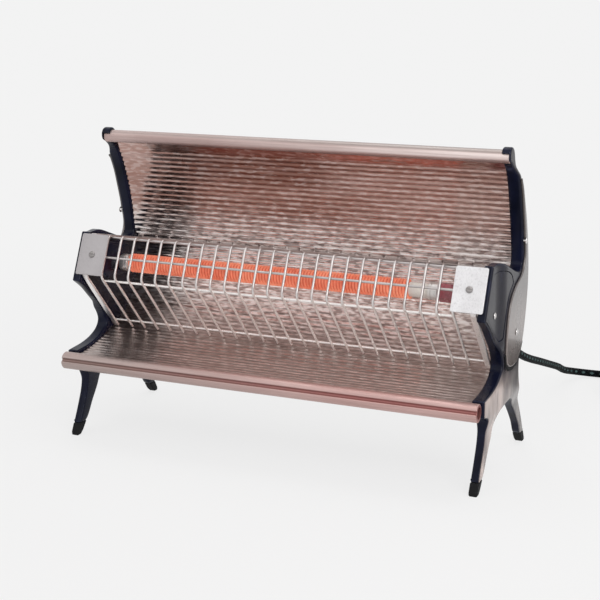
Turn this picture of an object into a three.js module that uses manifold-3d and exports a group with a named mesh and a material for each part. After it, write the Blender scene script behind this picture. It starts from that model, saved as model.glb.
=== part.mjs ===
// Electric bar heater: a single radiant rod in front of a curved, fluted reflector,
// held between two cast ends with splayed legs, behind a welded wire guard.
// Millimetres, +X to the right, +Y to the back, +Z up, origin on the floor under the middle.
import * as THREE from 'three';
import { mergeVertices } from 'three/addons/utils/BufferGeometryUtils.js';
import Module from 'manifold-3d';

const wasm = await Module();
wasm.setup();

// ---------------------------------------------------------------- driving dimensions
const SEAT_GAP = 0.3; // clearance between pieces that rest on each other

const BAY = 368; // clear width between the two end castings
const CASTING = { thick: 11.5, bevel: 1.2, legThick: 7.5, legInset: 0.8, legTop: 62, legFull: 46 };

// side outline of an end casting, as (depth, height), from the top tip round by the back;
// the tip is given from the middle of the top rail
const TOP_TIP = [[-8, -2.6], [-8.6, 4.4], [-5, 9], [3, 9.4], [8, 4.4]];
const REAR_EDGE = [[18.5, 256], [26.5, 240], [34, 224], [41, 208], [47, 188], [51, 168], [51.5, 150],
  [49, 134], [45, 118], [39.5, 104], [35, 92], [34, 80], [37, 66], [45, 50], [60, 26]];
const REAR_FOOT = { y: 65.5, half: 4.6 };
const REAR_LEG_FRONT = [[48, 25], [24, 49], [12, 57], [-4, 57.5], [-22, 55], [-31, 48], [-37, 38],
  [-45.5, 27]];
const FRONT_FOOT = { y: -66.5, half: 5 };
const FRONT_LEG_FRONT = [[-60.5, 28], [-55, 41], [-53.5, 52], [-57, 61]];
const RAIL_SEAT = { low: 65, high: 79.5 }; // the heights between which the bottom rail is seated
const LOWER_ARM = [[-45, 81], [-31, 84], [-21, 89], [-17, 95], [-18.5, 101], [-25.5, 111],
  [-38, 123.5], [-49, 134]];
const THROAT = [[-21.8, 182.5], [-2, 175.5], [17, 168.3], [30, 166], [36.3, 169.5], [37, 178], [35.5, 187],
  [32.5, 201], [28, 216], [23.5, 230], [18, 243], [12.5, 252], [5, 258]];
const FOOT_AT = 7; // height at which the feet's places and widths are given
const TIP_CUT = 4; // height at which the metal legs end inside their caps
const FOOT_CAP = { high: 10.5, wall: 1.2, chamfer: 3, tuck: 1.8, edge: 0.8 };

// the guard's front plane leans back: its top and bottom edges, at the face of the end plates
const PLATE = { top: [-43.6, 182.9], bottom: [-59.7, 148.7], thick: 1.2, wide: 27, outer: 4.8 };
const NOSE_PROUD = 2; // how far the nose rises over the plate's upper edge

const SHEET = 1; // reflector and back panel sheet
const GROOVE = 2.2; // depth of the slots in the castings that hold the two sheets
// the reflector's curve, from its top edge to its front lip, as (depth, height)
const REFLECTOR_CURVE = [[11, 259.5], [20.5, 243.3], [27.6, 225.6], [33, 207.8], [37, 190], [39.6, 170],
  [40.2, 150], [36, 126], [24.5, 105.5], [6, 93], [-14, 86], [-31, 81], [-48, 77.8], [-66.6, 76]];
const FLUTE = { pitch: 5, deep: 0.5, from: 8, to: 262 };

const TOP_RAIL = { y: 6, z: 264.6, r: 5.6, wall: 1, peg: 5, overEdge: 5.1 };
const ARM_FROM = 190; // the height where the upper arms begin
const BOTTOM_RAIL = { y: -76, z: 72.2, r: 7.6, wall: 1, half: 192.7, groove: 1.6 };

// back panel, from its upper flange down and forward under the reflector
const BACK_CURVE = [[35.6, 210], [38.6, 210], [42.6, 194], [46.2, 176], [47.8, 156], [46.2, 140], [42.2, 121],
  [36, 104.5], [31.4, 92], [31.4, 78], [26, 67.5], [12, 64], [-22, 65.5], [-62, 70.2]];
const VENT = { long: 34, tall: 4, columns: 6, pitch: 56, rows: [188, 176, 129, 117] };
const BACK_SCREW = { z: 86, x: 173, r: 1.6, head: 3.2, headThick: 1.6, long: 10, boss: 4.4 };

const GUARD = { wire: 2.2, weld: 0.7, loops: 25, pitch: 13.6, strap: 5.4, strapAt: 180.4 };
const GUARD_REAR = [38, 163.4]; // where the guard's roof meets the reflector
const GUARD_LOWER = [-7.3, 89.4]; // where its underside meets the reflector

const ROD = { y: -20, z: 153.5, r: 6.2, stem: 4, steps: 20 }; // stem: from the rod's end to the holder
const WINDING = { turns: 24, steps: 8, r: 7.9, wire: 0.85, fromLeft: 6.8, fromRight: 21.5 };
const CAP = { r: 7.6, long: 8.5, cup: 5 };
const STUD = { r: 2, nut: 3.8, nutThick: 3, proud: 3 };
const HOLDER = { half: 7.8, long: 22.3, bevel: 0.8 };
const HOUSING = { deep: 20.4, wall: 3.2, top: 168, low: 141.5, back: -7 };
const BUSH = { r: 4.4, flange: 5.6, flangeThick: 1.2 };

const CHAMBER = { floor: 187 }; // bottom of the wiring pocket behind the side cover
const COVER = { thick: 2, proud: 1.7, bevel: 0.6 };
const COVER_FRONT = [[18.2, 246], [25.6, 230], [30.3, 215], [34.6, 200], [37.6, 187], [38.8, 176], [32, 164],
  [14, 157], [-2, 147], [-9.5, 132], [-12, 116], [-12.6, 104]];
const COVER_END = [[-10, 95.5], [-3, 90.5], [8, 88.3], [19, 89], [27.5, 93]];
const COVER_REAR = [[36.4, 104], [42, 118], [46.2, 134], [48.6, 150], [48.2, 168], [44.4, 187.5], [38.6, 207],
  [31.8, 223], [24.4, 239]];
const POCKET = [[-7, 147], [-4, 128], [-6, 112], [-3, 99], [8, 94], [19, 94], [26, 97], [34.5, 107],
  [39, 124], [41, 140], [37, 153], [20, 152], [7.5, 149], [-2, 158], [-12, 161], [-12, 149]];
const CHEEK = { thick: 1.6, sunk: 0.3 };
const COVER_SCREWS = [[15, 116], [36.6, 190]];
const CHEEK_SCREW = [-34, 141.5];
const SIDE_SCREW = { r: 1.3, head: 2.8, headThick: 1.3, long: 5, boss: 3.4 };
const PLATE_SCREW = { r: 1.5, head: 3, headThick: 1.6, long: 13 };
const SCREW_ROOM = 0.2; // clearance of a screw in its hole

const GROMMET = { wide: 3, proud: 1.2, sunk: 1.2 };
const CORD = { d: 7, sides: 8 };
const BOOT = { y: 27, z: 97.5, x: 190.2, tilt: 0.42, r0: 4.05, r1: 3.8, long: 24, inside: 4 };
const BLOCK = { y: 25, z: 129, wide: 11, tall: 22, deep: 6.6, screw: 1.5 };
const LEAD = { r: 1.3, sides: 6, cross: [23, 88] };
const POCKET_HOLE = { y: 32, z: 107, r: 2.6 };

// route of the cord from the boot's end along the floor, as chosen points (x, y, z)
const CORD_ROUTE = [[190, 70, 78.6], [190, 96, 68.8], [190, 126, 58.4], [188.4, 170, 43.2],
  [186.4, 222, 25], [187.4, 247, 14.6], [193, 267, 8], [204, 277, 4.8], [220, 279.5, 4.2], [240, 279.5, 4.6]];
const COIL = { x: 274, y: 238, r: 36, pitch: 7.7, rise: 7.6, layers: 4, turnsPerLayer: 1.5625, z: 5.2 };
const TIE = { thick: 1, wide: 7, at: 0.2 };
const PLUG = { wide: 50, tall: 47, thick: 19, edge: 1.5, pinThick: 4, pinWide: 6.4, pinLong: 17.7,
  earthWide: 8, earthLong: 22.7, apart: 22.2, earthBack: 22.2, collar: 5.5, collarLong: 9 };
const PLUG_AT = { x: 297, y: 150 };
const TAIL_ROUTE_LIFT = 10.4; // height of the cord where it enters the plug

// ---------------------------------------------------------------- shared measures
const INNER = BAY / 2;
const OUTER = INNER + CASTING.thick;
const housingInner = INNER - HOUSING.deep;
const holderLeft = housingInner - SEAT_GAP - HOLDER.long;
const rodRight = holderLeft - ROD.stem;
const rodLeft = -(housingInner - SEAT_GAP - CAP.long + CAP.cup);
const windingLeft = rodLeft + WINDING.fromLeft;
const windingRight = rodRight - WINDING.fromRight;
const plateLeft = INNER + PLATE.outer - PLATE.wide;
const backHole = BACK_SCREW.r + SCREW_ROOM;
const plateHole = PLATE_SCREW.r + SCREW_ROOM;
const lean = new THREE.Vector2(PLATE.bottom[0] - PLATE.top[0], PLATE.bottom[1] - PLATE.top[1]);
const plateTall = lean.length();
lean.normalize();
const facing = new THREE.Vector2(lean.y, -lean.x); // out of the guard's front plane

// above ARM_FROM the arms, the sheets and the covers follow the height of the top rail
const edgeDrawn = REFLECTOR_CURVE[0][1];
const lifted = (points) => points.map(([y, z]) => {
  const rise = (TOP_RAIL.z - TOP_RAIL.overEdge - ARM_FROM) / (edgeDrawn - ARM_FROM);
  return [y, z > ARM_FROM ? ARM_FROM + (z - ARM_FROM) * rise : z];
});

const group = new THREE.Group();

// ---------------------------------------------------------------- materials
const finish = (color, roughness, metalness) =>
  new THREE.MeshStandardMaterial({ color, roughness, metalness });
const ENAMEL = finish(0x1d2030, 0.18, 0.1);
const COVER_ENAMEL = finish(0x8a8088, 0.25, 0.3);
const COPPER = finish(0xc49a8c, 0.15, 1);
const ROSE = finish(0xd0aaa2, 0.22, 1);
const CHROME = finish(0xd5d3cf, 0.12, 1);
const PLATE_FINISH = finish(0xe4e2e2, 0.35, 0.6);
const STEEL = finish(0x9d9a97, 0.35, 1);
const BACK_PAINT = finish(0x2a2b30, 0.5, 0.2);
const CERAMIC = finish(0xe9e1d6, 0.7, 0);
const GLOW = finish(0xf0532e, 0.6, 0);
const BRASS = finish(0xb58d3f, 0.3, 1);
const MAROON = finish(0x5d1a22, 0.3, 0);
const RUBBER = finish(0x121212, 0.75, 0);
const BRAID = finish(0x14211e, 0.9, 0);
const PLASTIC = finish(0x1a1a1c, 0.35, 0);

// ---------------------------------------------------------------- small tools
function bare(geometry) {
  const only = geometry.index ? geometry.toNonIndexed() : geometry.clone();
  only.deleteAttribute('normal');
  only.deleteAttribute('uv');
  return mergeVertices(only, 1e-4);
}

function solid(geometry) {
  const closed = bare(geometry);
  return new wasm.Manifold(new wasm.Mesh({
    numProp: 3,
    vertProperties: new Float32Array(closed.attributes.position.array),
    triVerts: new Uint32Array(closed.index.array),
  }));
}

function geometryOf(manifold) {
  const result = manifold.getMesh();
  const geometry = new THREE.BufferGeometry();
  geometry.setAttribute('position', new THREE.BufferAttribute(result.vertProperties, 3));
  geometry.setIndex(new THREE.BufferAttribute(result.triVerts, 1));
  return geometry;
}

function piece(name, shape, material) {
  const geometry = shape instanceof THREE.BufferGeometry ? shape : geometryOf(shape);
  const mesh = new THREE.Mesh(geometry, material);
  mesh.name = name;
  group.add(mesh);
  return mesh;
}

// a side outline in (depth, height), pushed along X from x0 to x1
function alongX(points, x0, x1, bevel = 0) {
  const shape = new THREE.Shape(points.map(([y, z]) => new THREE.Vector2(y, z)));
  const geometry = new THREE.ExtrudeGeometry(shape, {
    depth: x1 - x0 - 2 * bevel,
    bevelEnabled: bevel > 0,
    bevelSize: bevel,
    bevelOffset: -bevel,
    bevelThickness: bevel,
    bevelSegments: 1,
  });
  const turn = new THREE.Matrix4().makeBasis(
    new THREE.Vector3(0, 1, 0), new THREE.Vector3(0, 0, 1), new THREE.Vector3(1, 0, 0));
  return geometry.applyMatrix4(turn).translate(x0 + bevel, 0, 0);
}

function rodX(x0, x1, r, y, z, sides = 16) {
  const geometry = new THREE.CylinderGeometry(r, r, x1 - x0, sides);
  return geometry.rotateZ(Math.PI / 2).translate((x0 + x1) / 2, y, z);
}

function block(x0, x1, y0, y1, z0, z1) {
  const geometry = new THREE.BoxGeometry(x1 - x0, y1 - y0, z1 - z0);
  return geometry.translate((x0 + x1) / 2, (y0 + y1) / 2, (z0 + z1) / 2);
}

// points of a smooth curve through the given (depth, height) points
function smooth(points, count) {
  const curve = new THREE.CatmullRomCurve3(
    points.map(([y, z]) => new THREE.Vector3(0, y, z)), false, 'centripetal');
  return curve.getSpacedPoints(count).map((p) => [p.y, p.z]);
}

// the same path moved sideways, to its left when seen from +X
function offset(path, by) {
  return path.map((point, i) => {
    const before = path[Math.max(i - 1, 0)];
    const after = path[Math.min(i + 1, path.length - 1)];
    const along = new THREE.Vector2(after[0] - before[0], after[1] - before[1]).normalize();
    const one = new THREE.Vector2(point[0] - before[0], point[1] - before[1]).normalize();
    const miter = i > 0 && i < path.length - 1 ? Math.max(along.dot(one), 0.5) : 1;
    return [point[0] - (along.y * by) / miter, point[1] + (along.x * by) / miter];
  });
}

// a strip of the given width centred on a path, as an outline
const strip = (path, wide) => [...offset(path, wide / 2), ...offset(path, -wide / 2).reverse()];

// a closed outline let out by a distance, or drawn in by a negative one
function grown(outline, distance) {
  const n = outline.length;
  const by = distance * -Math.sign(THREE.ShapeUtils.area(outline.map(([x, y]) => ({ x, y }))));
  return outline.map((point, i) => {
    const a = outline[(i + n - 1) % n];
    const b = outline[(i + 1) % n];
    const into = new THREE.Vector2(point[0] - a[0], point[1] - a[1]).normalize();
    const out = new THREE.Vector2(b[0] - point[0], b[1] - point[1]).normalize();
    const along = into.clone().add(out).normalize();
    const miter = Math.max(along.dot(into), 0.6);
    return [point[0] - (along.y * by) / miter, point[1] + (along.x * by) / miter];
  });
}

function onPlane(down, back) {
  return [PLATE.top[0] + lean.x * down - facing.x * back, PLATE.top[1] + lean.y * down - facing.y * back];
}

const mirrored = (manifold, side) => (side > 0 ? manifold : manifold.mirror([1, 0, 0]));
const sideName = (side) => (side > 0 ? 'right' : 'left');

// a round bar along any line, with optional second radius
function bar(from, to, r0, r1 = r0, sides = 14) {
  const a = new THREE.Vector3(...from);
  const b = new THREE.Vector3(...to);
  const geometry = new THREE.CylinderGeometry(r1, r0, a.distanceTo(b), sides);
  const turn = new THREE.Quaternion().setFromUnitVectors(
    new THREE.Vector3(0, 1, 0), b.clone().sub(a).normalize());
  return geometry.applyQuaternion(turn).translate((a.x + b.x) / 2, (a.y + b.y) / 2, (a.z + b.z) / 2);
}

function tube(curve, r, sides, steps) {
  const section = new THREE.Shape();
  for (let i = 0; i < sides; i += 1) {
    const turn = ((i + 0.5) / sides) * 2 * Math.PI;
    section[i ? 'lineTo' : 'moveTo'](r * Math.cos(turn), r * Math.sin(turn));
  }
  return new THREE.ExtrudeGeometry(section, { steps, extrudePath: curve });
}

const through = (points) => new THREE.CatmullRomCurve3(
  points.map((p) => new THREE.Vector3(...p)), false, 'centripetal');

// a tube whose rings are placed one by one, for wound pieces
function wound(centres, r, sides, up) {
  const positions = [];
  const faces = [];
  centres.forEach((centre, i) => {
    const before = centres[Math.max(i - 1, 0)];
    const after = centres[Math.min(i + 1, centres.length - 1)];
    const along = after.clone().sub(before).normalize();
    const out = up(i, along).normalize();
    const side = along.clone().cross(out).normalize();
    for (let k = 0; k < sides; k += 1) {
      const turn = (k / sides) * 2 * Math.PI;
      const point = centre.clone().addScaledVector(out, r * Math.cos(turn))
        .addScaledVector(side, r * Math.sin(turn));
      positions.push(point.x, point.y, point.z);
    }
  });
  const last = (centres.length - 1) * sides;
  for (let i = 0; i < centres.length - 1; i += 1) {
    for (let k = 0; k < sides; k += 1) {
      const a = i * sides + k;
      const b = i * sides + ((k + 1) % sides);
      faces.push(a, b, a + sides, b, b + sides, a + sides);
    }
  }
  for (let k = 1; k < sides - 1; k += 1) {
    faces.push(0, k + 1, k, last, last + k, last + k + 1);
  }
  const geometry = new THREE.BufferGeometry();
  geometry.setAttribute('position', new THREE.Float32BufferAttribute(positions, 3));
  geometry.setIndex(faces);
  return geometry;
}

// least distance between the skins of two turns of a wound tube, measured on its centres
function leastGap(centres, r, apart) {
  let least = Infinity;
  centres.forEach((a, i) => {
    for (let j = i + apart; j < centres.length; j += 1) {
      least = Math.min(least, a.distanceTo(centres[j]) - 2 * r);
    }
  });
  return least;
}

// ---------------------------------------------------------------- end castings
const slopeOf = (a, b) => (b[0] - a[0]) / (b[1] - a[1]);
function legEdges(foot, front, rear) {
  return {
    front: { y: foot.y - foot.half, slope: slopeOf([foot.y - foot.half, FOOT_AT], front) },
    rear: { y: foot.y + foot.half, slope: slopeOf([foot.y + foot.half, FOOT_AT], rear) },
  };
}
const edgeAt = (edge, z) => edge.y + edge.slope * (z - FOOT_AT);
const frontEdges = legEdges(FRONT_FOOT, FRONT_LEG_FRONT[0], REAR_LEG_FRONT[REAR_LEG_FRONT.length - 1]);
const rearEdges = legEdges(REAR_FOOT, REAR_LEG_FRONT[0], REAR_EDGE[REAR_EDGE.length - 1]);

function footTip(edges) {
  return [[edgeAt(edges.front, FOOT_AT), FOOT_AT], [edgeAt(edges.front, TIP_CUT) + 1, TIP_CUT],
    [edgeAt(edges.rear, TIP_CUT) - 1, TIP_CUT], [edgeAt(edges.rear, FOOT_AT), FOOT_AT]];
}

// a foot's side outline from z0 up to z1, grown by so much and narrowed toward its tip
function footOutline(edges, grow, z0, z1) {
  const { chamfer, tuck } = FOOT_CAP;
  return [[edgeAt(edges.front, z0) - grow + tuck, z0],
    [edgeAt(edges.front, z0 + chamfer) - grow, z0 + chamfer],
    [edgeAt(edges.front, z1) - grow, z1], [edgeAt(edges.rear, z1) + grow, z1],
    [edgeAt(edges.rear, z0 + chamfer) + grow, z0 + chamfer],
    [edgeAt(edges.rear, z0) + grow - tuck, z0]].reverse();
}

// what is taken from a leg's tip round the tenon that goes into its cap, so that the cap lies flush
const legMiddle = INNER + CASTING.legInset + CASTING.legThick / 2;
function footCollar(edges) {
  const { wall, high } = FOOT_CAP;
  const half = CASTING.legThick / 2 - wall - SEAT_GAP;
  const tenon = alongX(footOutline(edges, -wall - SEAT_GAP, TIP_CUT, high + 2),
    legMiddle - half, legMiddle + half);
  const wide = CASTING.thick;
  const room = block(legMiddle - wide, legMiddle + wide, edges.front.y - wide, edges.rear.y + wide,
    0, high + SEAT_GAP);
  return solid(room).subtract(solid(tenon));
}

// behind the end plate the nose's front face runs parallel to the guard's front plane
const noseFront = () => [onPlane(plateTall + 6, PLATE.thick + SEAT_GAP),
  onPlane(-NOSE_PROUD, PLATE.thick + SEAT_GAP), onPlane(-NOSE_PROUD - 0.6, PLATE.thick + 4)];

function castingOutline() {
  const rearFoot = footTip(rearEdges).reverse();
  const frontFoot = footTip(frontEdges).reverse();
  const seat = BOTTOM_RAIL.y + BOTTOM_RAIL.r + SEAT_GAP;
  const tip = TOP_TIP.map(([y, z]) => [TOP_RAIL.y + y, TOP_RAIL.z + z]);
  return [...tip, ...lifted(REAR_EDGE), ...rearFoot, ...REAR_LEG_FRONT, ...frontFoot, ...FRONT_LEG_FRONT,
    [seat, RAIL_SEAT.low], [seat, RAIL_SEAT.high], ...LOWER_ARM, ...noseFront(), ...lifted(THROAT)];
}

// the legs are thinner than the web, and step down to it over a short taper
function thinLegs(geometry) {
  const place = geometry.attributes.position;
  const web = (INNER + OUTER) / 2;
  for (let i = 0; i < place.count; i += 1) {
    const share = THREE.MathUtils.clamp(
      (CASTING.legTop - place.getZ(i)) / (CASTING.legTop - CASTING.legFull), 0, 1);
    const scale = 1 + share * (CASTING.legThick / CASTING.thick - 1);
    place.setX(i, web + share * (legMiddle - web) + (place.getX(i) - web) * scale);
  }
  return geometry;
}

// the inward box behind the end plate, which carries the rod's terminal
function housingOutline() {
  const back = PLATE.thick + SEAT_GAP + GUARD.wire + SEAT_GAP;
  return [onPlane(5, back), onPlane(plateTall - 5, back), [-43, 143.5],
    [HOUSING.back, HOUSING.low], [HOUSING.back, HOUSING.top], [-21, 171.5]];
}

const reflectorPath = smooth(lifted(REFLECTOR_CURVE), 32);

function casting(side) {
  let body = solid(thinLegs(alongX(castingOutline(), INNER, OUTER, CASTING.bevel)));
  body = body.subtract(footCollar(frontEdges)).subtract(footCollar(rearEdges));
  const housing = alongX(housingOutline(), housingInner, INNER + CASTING.bevel + 0.5);
  const peg = rodX(INNER - TOP_RAIL.peg, INNER + 2, TOP_RAIL.r - TOP_RAIL.wall - SEAT_GAP,
    TOP_RAIL.y, TOP_RAIL.z, 12);
  const backBoss = rodX(BACK_SCREW.x - BACK_SCREW.boss, INNER + 2, BACK_SCREW.boss,
    backWallY - SHEET / 2 - SEAT_GAP - BACK_SCREW.boss, BACK_SCREW.z, 12);
  body = body.add(solid(housing)).add(solid(peg)).add(solid(backBoss));
  const slot = INNER + GROOVE;
  const sheetSpace = SHEET + FLUTE.deep + 2 * SEAT_GAP;
  const reflectorSlot = strip(offset(reflectorPath, (SHEET - FLUTE.deep) / 2), sheetSpace);
  const backSlot = strip(lifted(BACK_CURVE), SHEET + 2 * SEAT_GAP);
  const chamber = grown(housingOutline(), -HOUSING.wall);
  const cuts = [
    alongX(reflectorSlot, INNER - 1, slot),
    alongX(backSlot, INNER - 1, slot),
    alongX(chamber, housingInner + HOUSING.wall, OUTER + 1),
    alongX(cheekOutline(), OUTER - CHEEK.thick - CHEEK.sunk - SEAT_GAP, OUTER + 1),
    alongX(coverOutline(SEAT_GAP), OUTER - (COVER.thick - COVER.proud) - SEAT_GAP, OUTER + 1),
    rodX(housingInner - 1, housingInner + HOUSING.wall + 1, BUSH.r + SEAT_GAP, ROD.y, ROD.z),
    rodX(INNER - 1, CHAMBER.floor + 1, POCKET_HOLE.r, POCKET_HOLE.y, POCKET_HOLE.z, 10),
    bar(backScrewFrom(3), backScrewFrom(-BACK_SCREW.long - 1), backHole, backHole, 10),
    bar(plateScrewFrom(-2), plateScrewFrom(PLATE_SCREW.long + 2), plateHole, plateHole, 10),
    ...COVER_SCREWS.map(([y, z]) => rodX(OUTER - 6, OUTER + 1, SIDE_SCREW.r + SCREW_ROOM, y, z, 10)),
    rodX(OUTER - 7, OUTER + 1, SIDE_SCREW.r + SCREW_ROOM, ...CHEEK_SCREW, 10),
  ];
  if (side > 0) {
    const seat = alongX(grommetOutline(SEAT_GAP), OUTER - GROMMET.sunk, OUTER + 1);
    cuts.push(bootShape(BOOT.r0 + SEAT_GAP), seat);
  }
  const [bossY, bossZ] = COVER_SCREWS[0];
  const boss = rodX(CHAMBER.floor - 1, OUTER + 2, SIDE_SCREW.boss, bossY, bossZ, 12);
  const pocket = solid(alongX(POCKET, CHAMBER.floor, OUTER + 1)).subtract(solid(boss));
  const cut = cuts.reduce((done, next) => done.subtract(solid(next)), body.subtract(pocket));
  return mirrored(cut, side);
}

// ---------------------------------------------------------------- screws
// pan head with a straight slot, shank behind it; "at" is the seat under the head
function screw(at, outward, size) {
  const way = new THREE.Vector3(...outward).normalize();
  const seat = new THREE.Vector3(...at);
  const point = (far) => seat.clone().addScaledVector(way, far).toArray();
  const head = solid(bar(point(0), point(size.headThick), size.head, size.head * 0.75, 14));
  const shank = solid(bar(point(-size.long), point(0.4), size.r, size.r, 8));
  const slotBox = new THREE.BoxGeometry(size.head * 3, size.headThick, size.head * 0.3);
  const turn = new THREE.Quaternion().setFromUnitVectors(new THREE.Vector3(0, 1, 0), way);
  slotBox.applyQuaternion(turn).translate(...point(size.headThick * 1.05));
  return head.add(shank).subtract(solid(slotBox));
}

const backWallY = BACK_CURVE.find(([, z]) => z < BACK_SCREW.z)[0];
const backScrewFrom = (out) => [BACK_SCREW.x, backWallY + SHEET / 2 + out, BACK_SCREW.z];
const plateMiddle = plateLeft + PLATE.wide / 2;
function plateScrewFrom(back) {
  const [y, z] = onPlane(plateTall / 2, back);
  return [plateMiddle, y, z];
}

// ---------------------------------------------------------------- covers on the outer faces
const coverOutline = (grow = 0) => grown(lifted([...COVER_FRONT, ...COVER_END, ...COVER_REAR]), grow);

function cheekOutline(grow = 0) {
  const shape = [onPlane(4, 6), onPlane(plateTall + 2, 6), [-47, 137], [-34, 125.5], [-24, 117], [-17, 118],
    [-14, 133], [-6, 150.5], [8, 160], [2, 168], [-20, 176]];
  return grown(shape, grow);
}

function sideCover(side) {
  const base = OUTER - (COVER.thick - COVER.proud);
  let cover = solid(alongX(coverOutline(), base, base + COVER.thick, COVER.bevel));
  COVER_SCREWS.forEach(([y, z]) => {
    cover = cover.subtract(solid(rodX(OUTER - 3, OUTER + 5, SIDE_SCREW.r + SCREW_ROOM, y, z, 10)));
  });
  return mirrored(cover, side);
}

function cheekCover(side) {
  const base = OUTER - CHEEK.thick - CHEEK.sunk;
  const plate = solid(alongX(cheekOutline(-SEAT_GAP), base, base + CHEEK.thick))
    .subtract(solid(rodX(base - 2, base + 5, SIDE_SCREW.r + SCREW_ROOM, ...CHEEK_SCREW, 10)));
  return mirrored(plate, side);
}

function sideScrews(side) {
  const proud = OUTER + COVER.proud + SEAT_GAP / 3;
  COVER_SCREWS.forEach(([y, z], i) => {
    const shape = screw([proud, y, z], [1, 0, 0], SIDE_SCREW);
    piece(`side_cover_screw_${sideName(side)}_${['lower', 'upper'][i]}`, mirrored(shape, side), CHROME);
  });
  const cheek = screw([OUTER - CHEEK.sunk + 0.1, ...CHEEK_SCREW], [1, 0, 0], SIDE_SCREW);
  piece(`terminal_cover_screw_${sideName(side)}`, mirrored(cheek, side), CHROME);
}

// ---------------------------------------------------------------- foot caps
function footCap(side, edges) {
  const { wall, high, edge } = FOOT_CAP;
  const thick = CASTING.legThick / 2;
  const room = thick - wall;
  const shell = solid(alongX(footOutline(edges, 0, 0, high), legMiddle - thick, legMiddle + thick, edge));
  const hollow = solid(alongX(footOutline(edges, -wall, TIP_CUT - SEAT_GAP, high + 2),
    legMiddle - room, legMiddle + room));
  return mirrored(shell.subtract(hollow), side);
}

// ---------------------------------------------------------------- reflector, rails and back
function reflector() {
  const count = 2 * Math.round(pathLength(reflectorPath) / FLUTE.pitch);
  const path = smooth(lifted(REFLECTOR_CURVE), count);
  const step = pathLength(path) / count;
  const ridge = offset(path, -FLUTE.deep);
  const face = path.map((point, i) => {
    const far = i * step;
    return i % 2 && far > FLUTE.from && far < FLUTE.to ? ridge[i] : point;
  });
  const back = offset(path, SHEET).filter((point, i) => i % 4 === 0 || i === path.length - 1);
  const half = INNER + GROOVE - SEAT_GAP;
  return alongX([...face, ...back.reverse()], -half, half);
}

function pathLength(path) {
  return path.slice(1).reduce((sum, p, i) => sum + Math.hypot(p[0] - path[i][0], p[1] - path[i][1]), 0);
}

function ringPoints(y, z, r, sides) {
  return Array.from({ length: sides }, (unused, i) => {
    const turn = ((i + 0.5) / sides) * 2 * Math.PI;
    return [y + r * Math.cos(turn), z + r * Math.sin(turn)];
  });
}

function topRail() {
  const half = INNER - SEAT_GAP;
  const outside = solid(alongX(ringPoints(TOP_RAIL.y, TOP_RAIL.z, TOP_RAIL.r, 20), -half, half));
  const inside = ringPoints(TOP_RAIL.y, TOP_RAIL.z, TOP_RAIL.r - TOP_RAIL.wall, 16);
  return outside.subtract(solid(alongX(inside, -half - 1, half + 1)));
}

// the front rail is a rolled bead with a shallow groove along its face
function bottomRail() {
  const { y, z, r, wall, half, groove } = BOTTOM_RAIL;
  const notch = ringPoints(y - r - groove * 0.2, z + 0.4, groove, 8);
  const outside = solid(alongX(ringPoints(y, z, r, 24), -half, half));
  const bore = solid(alongX(ringPoints(y + 0.4, z, r - wall - 0.8, 16), -half - 1, half + 1));
  return outside.subtract(bore).subtract(solid(alongX(notch, -half - 1, half + 1)));
}

function backPanel() {
  const half = INNER + GROOVE - SEAT_GAP;
  let panel = solid(alongX(strip(lifted(BACK_CURVE), SHEET), -half, half));
  const first = -((VENT.columns - 1) * VENT.pitch) / 2;
  VENT.rows.forEach((z) => {
    for (let i = 0; i < VENT.columns; i += 1) {
      const x = first + i * VENT.pitch;
      panel = panel.subtract(solid(
        block(x - VENT.long / 2, x + VENT.long / 2, 36, 56, z - VENT.tall / 2, z + VENT.tall / 2)));
    }
  });
  [-1, 1].forEach((side) => {
    const hole = solid(bar(backScrewFrom(3), backScrewFrom(-6), backHole, backHole, 10));
    panel = panel.subtract(mirrored(hole, side));
  });
  return panel;
}

// ---------------------------------------------------------------- guard
// a path with its corners cut back to two points each
function softened(path, cut) {
  return path.flatMap((point, i) => {
    if (i === 0 || i === path.length - 1) {
      return [point];
    }
    const toward = (other) => {
      const far = Math.hypot(other[0] - point[0], other[1] - point[1]);
      return [point[0] + ((other[0] - point[0]) * cut) / far, point[1] + ((other[1] - point[1]) * cut) / far];
    };
    return [toward(path[i - 1]), toward(path[i + 1])];
  });
}

const guardBack = PLATE.thick + SEAT_GAP + GUARD.wire / 2;
const guardCorners = () => [GUARD_REAR, onPlane(0, guardBack), onPlane(plateTall, guardBack), GUARD_LOWER];

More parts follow.
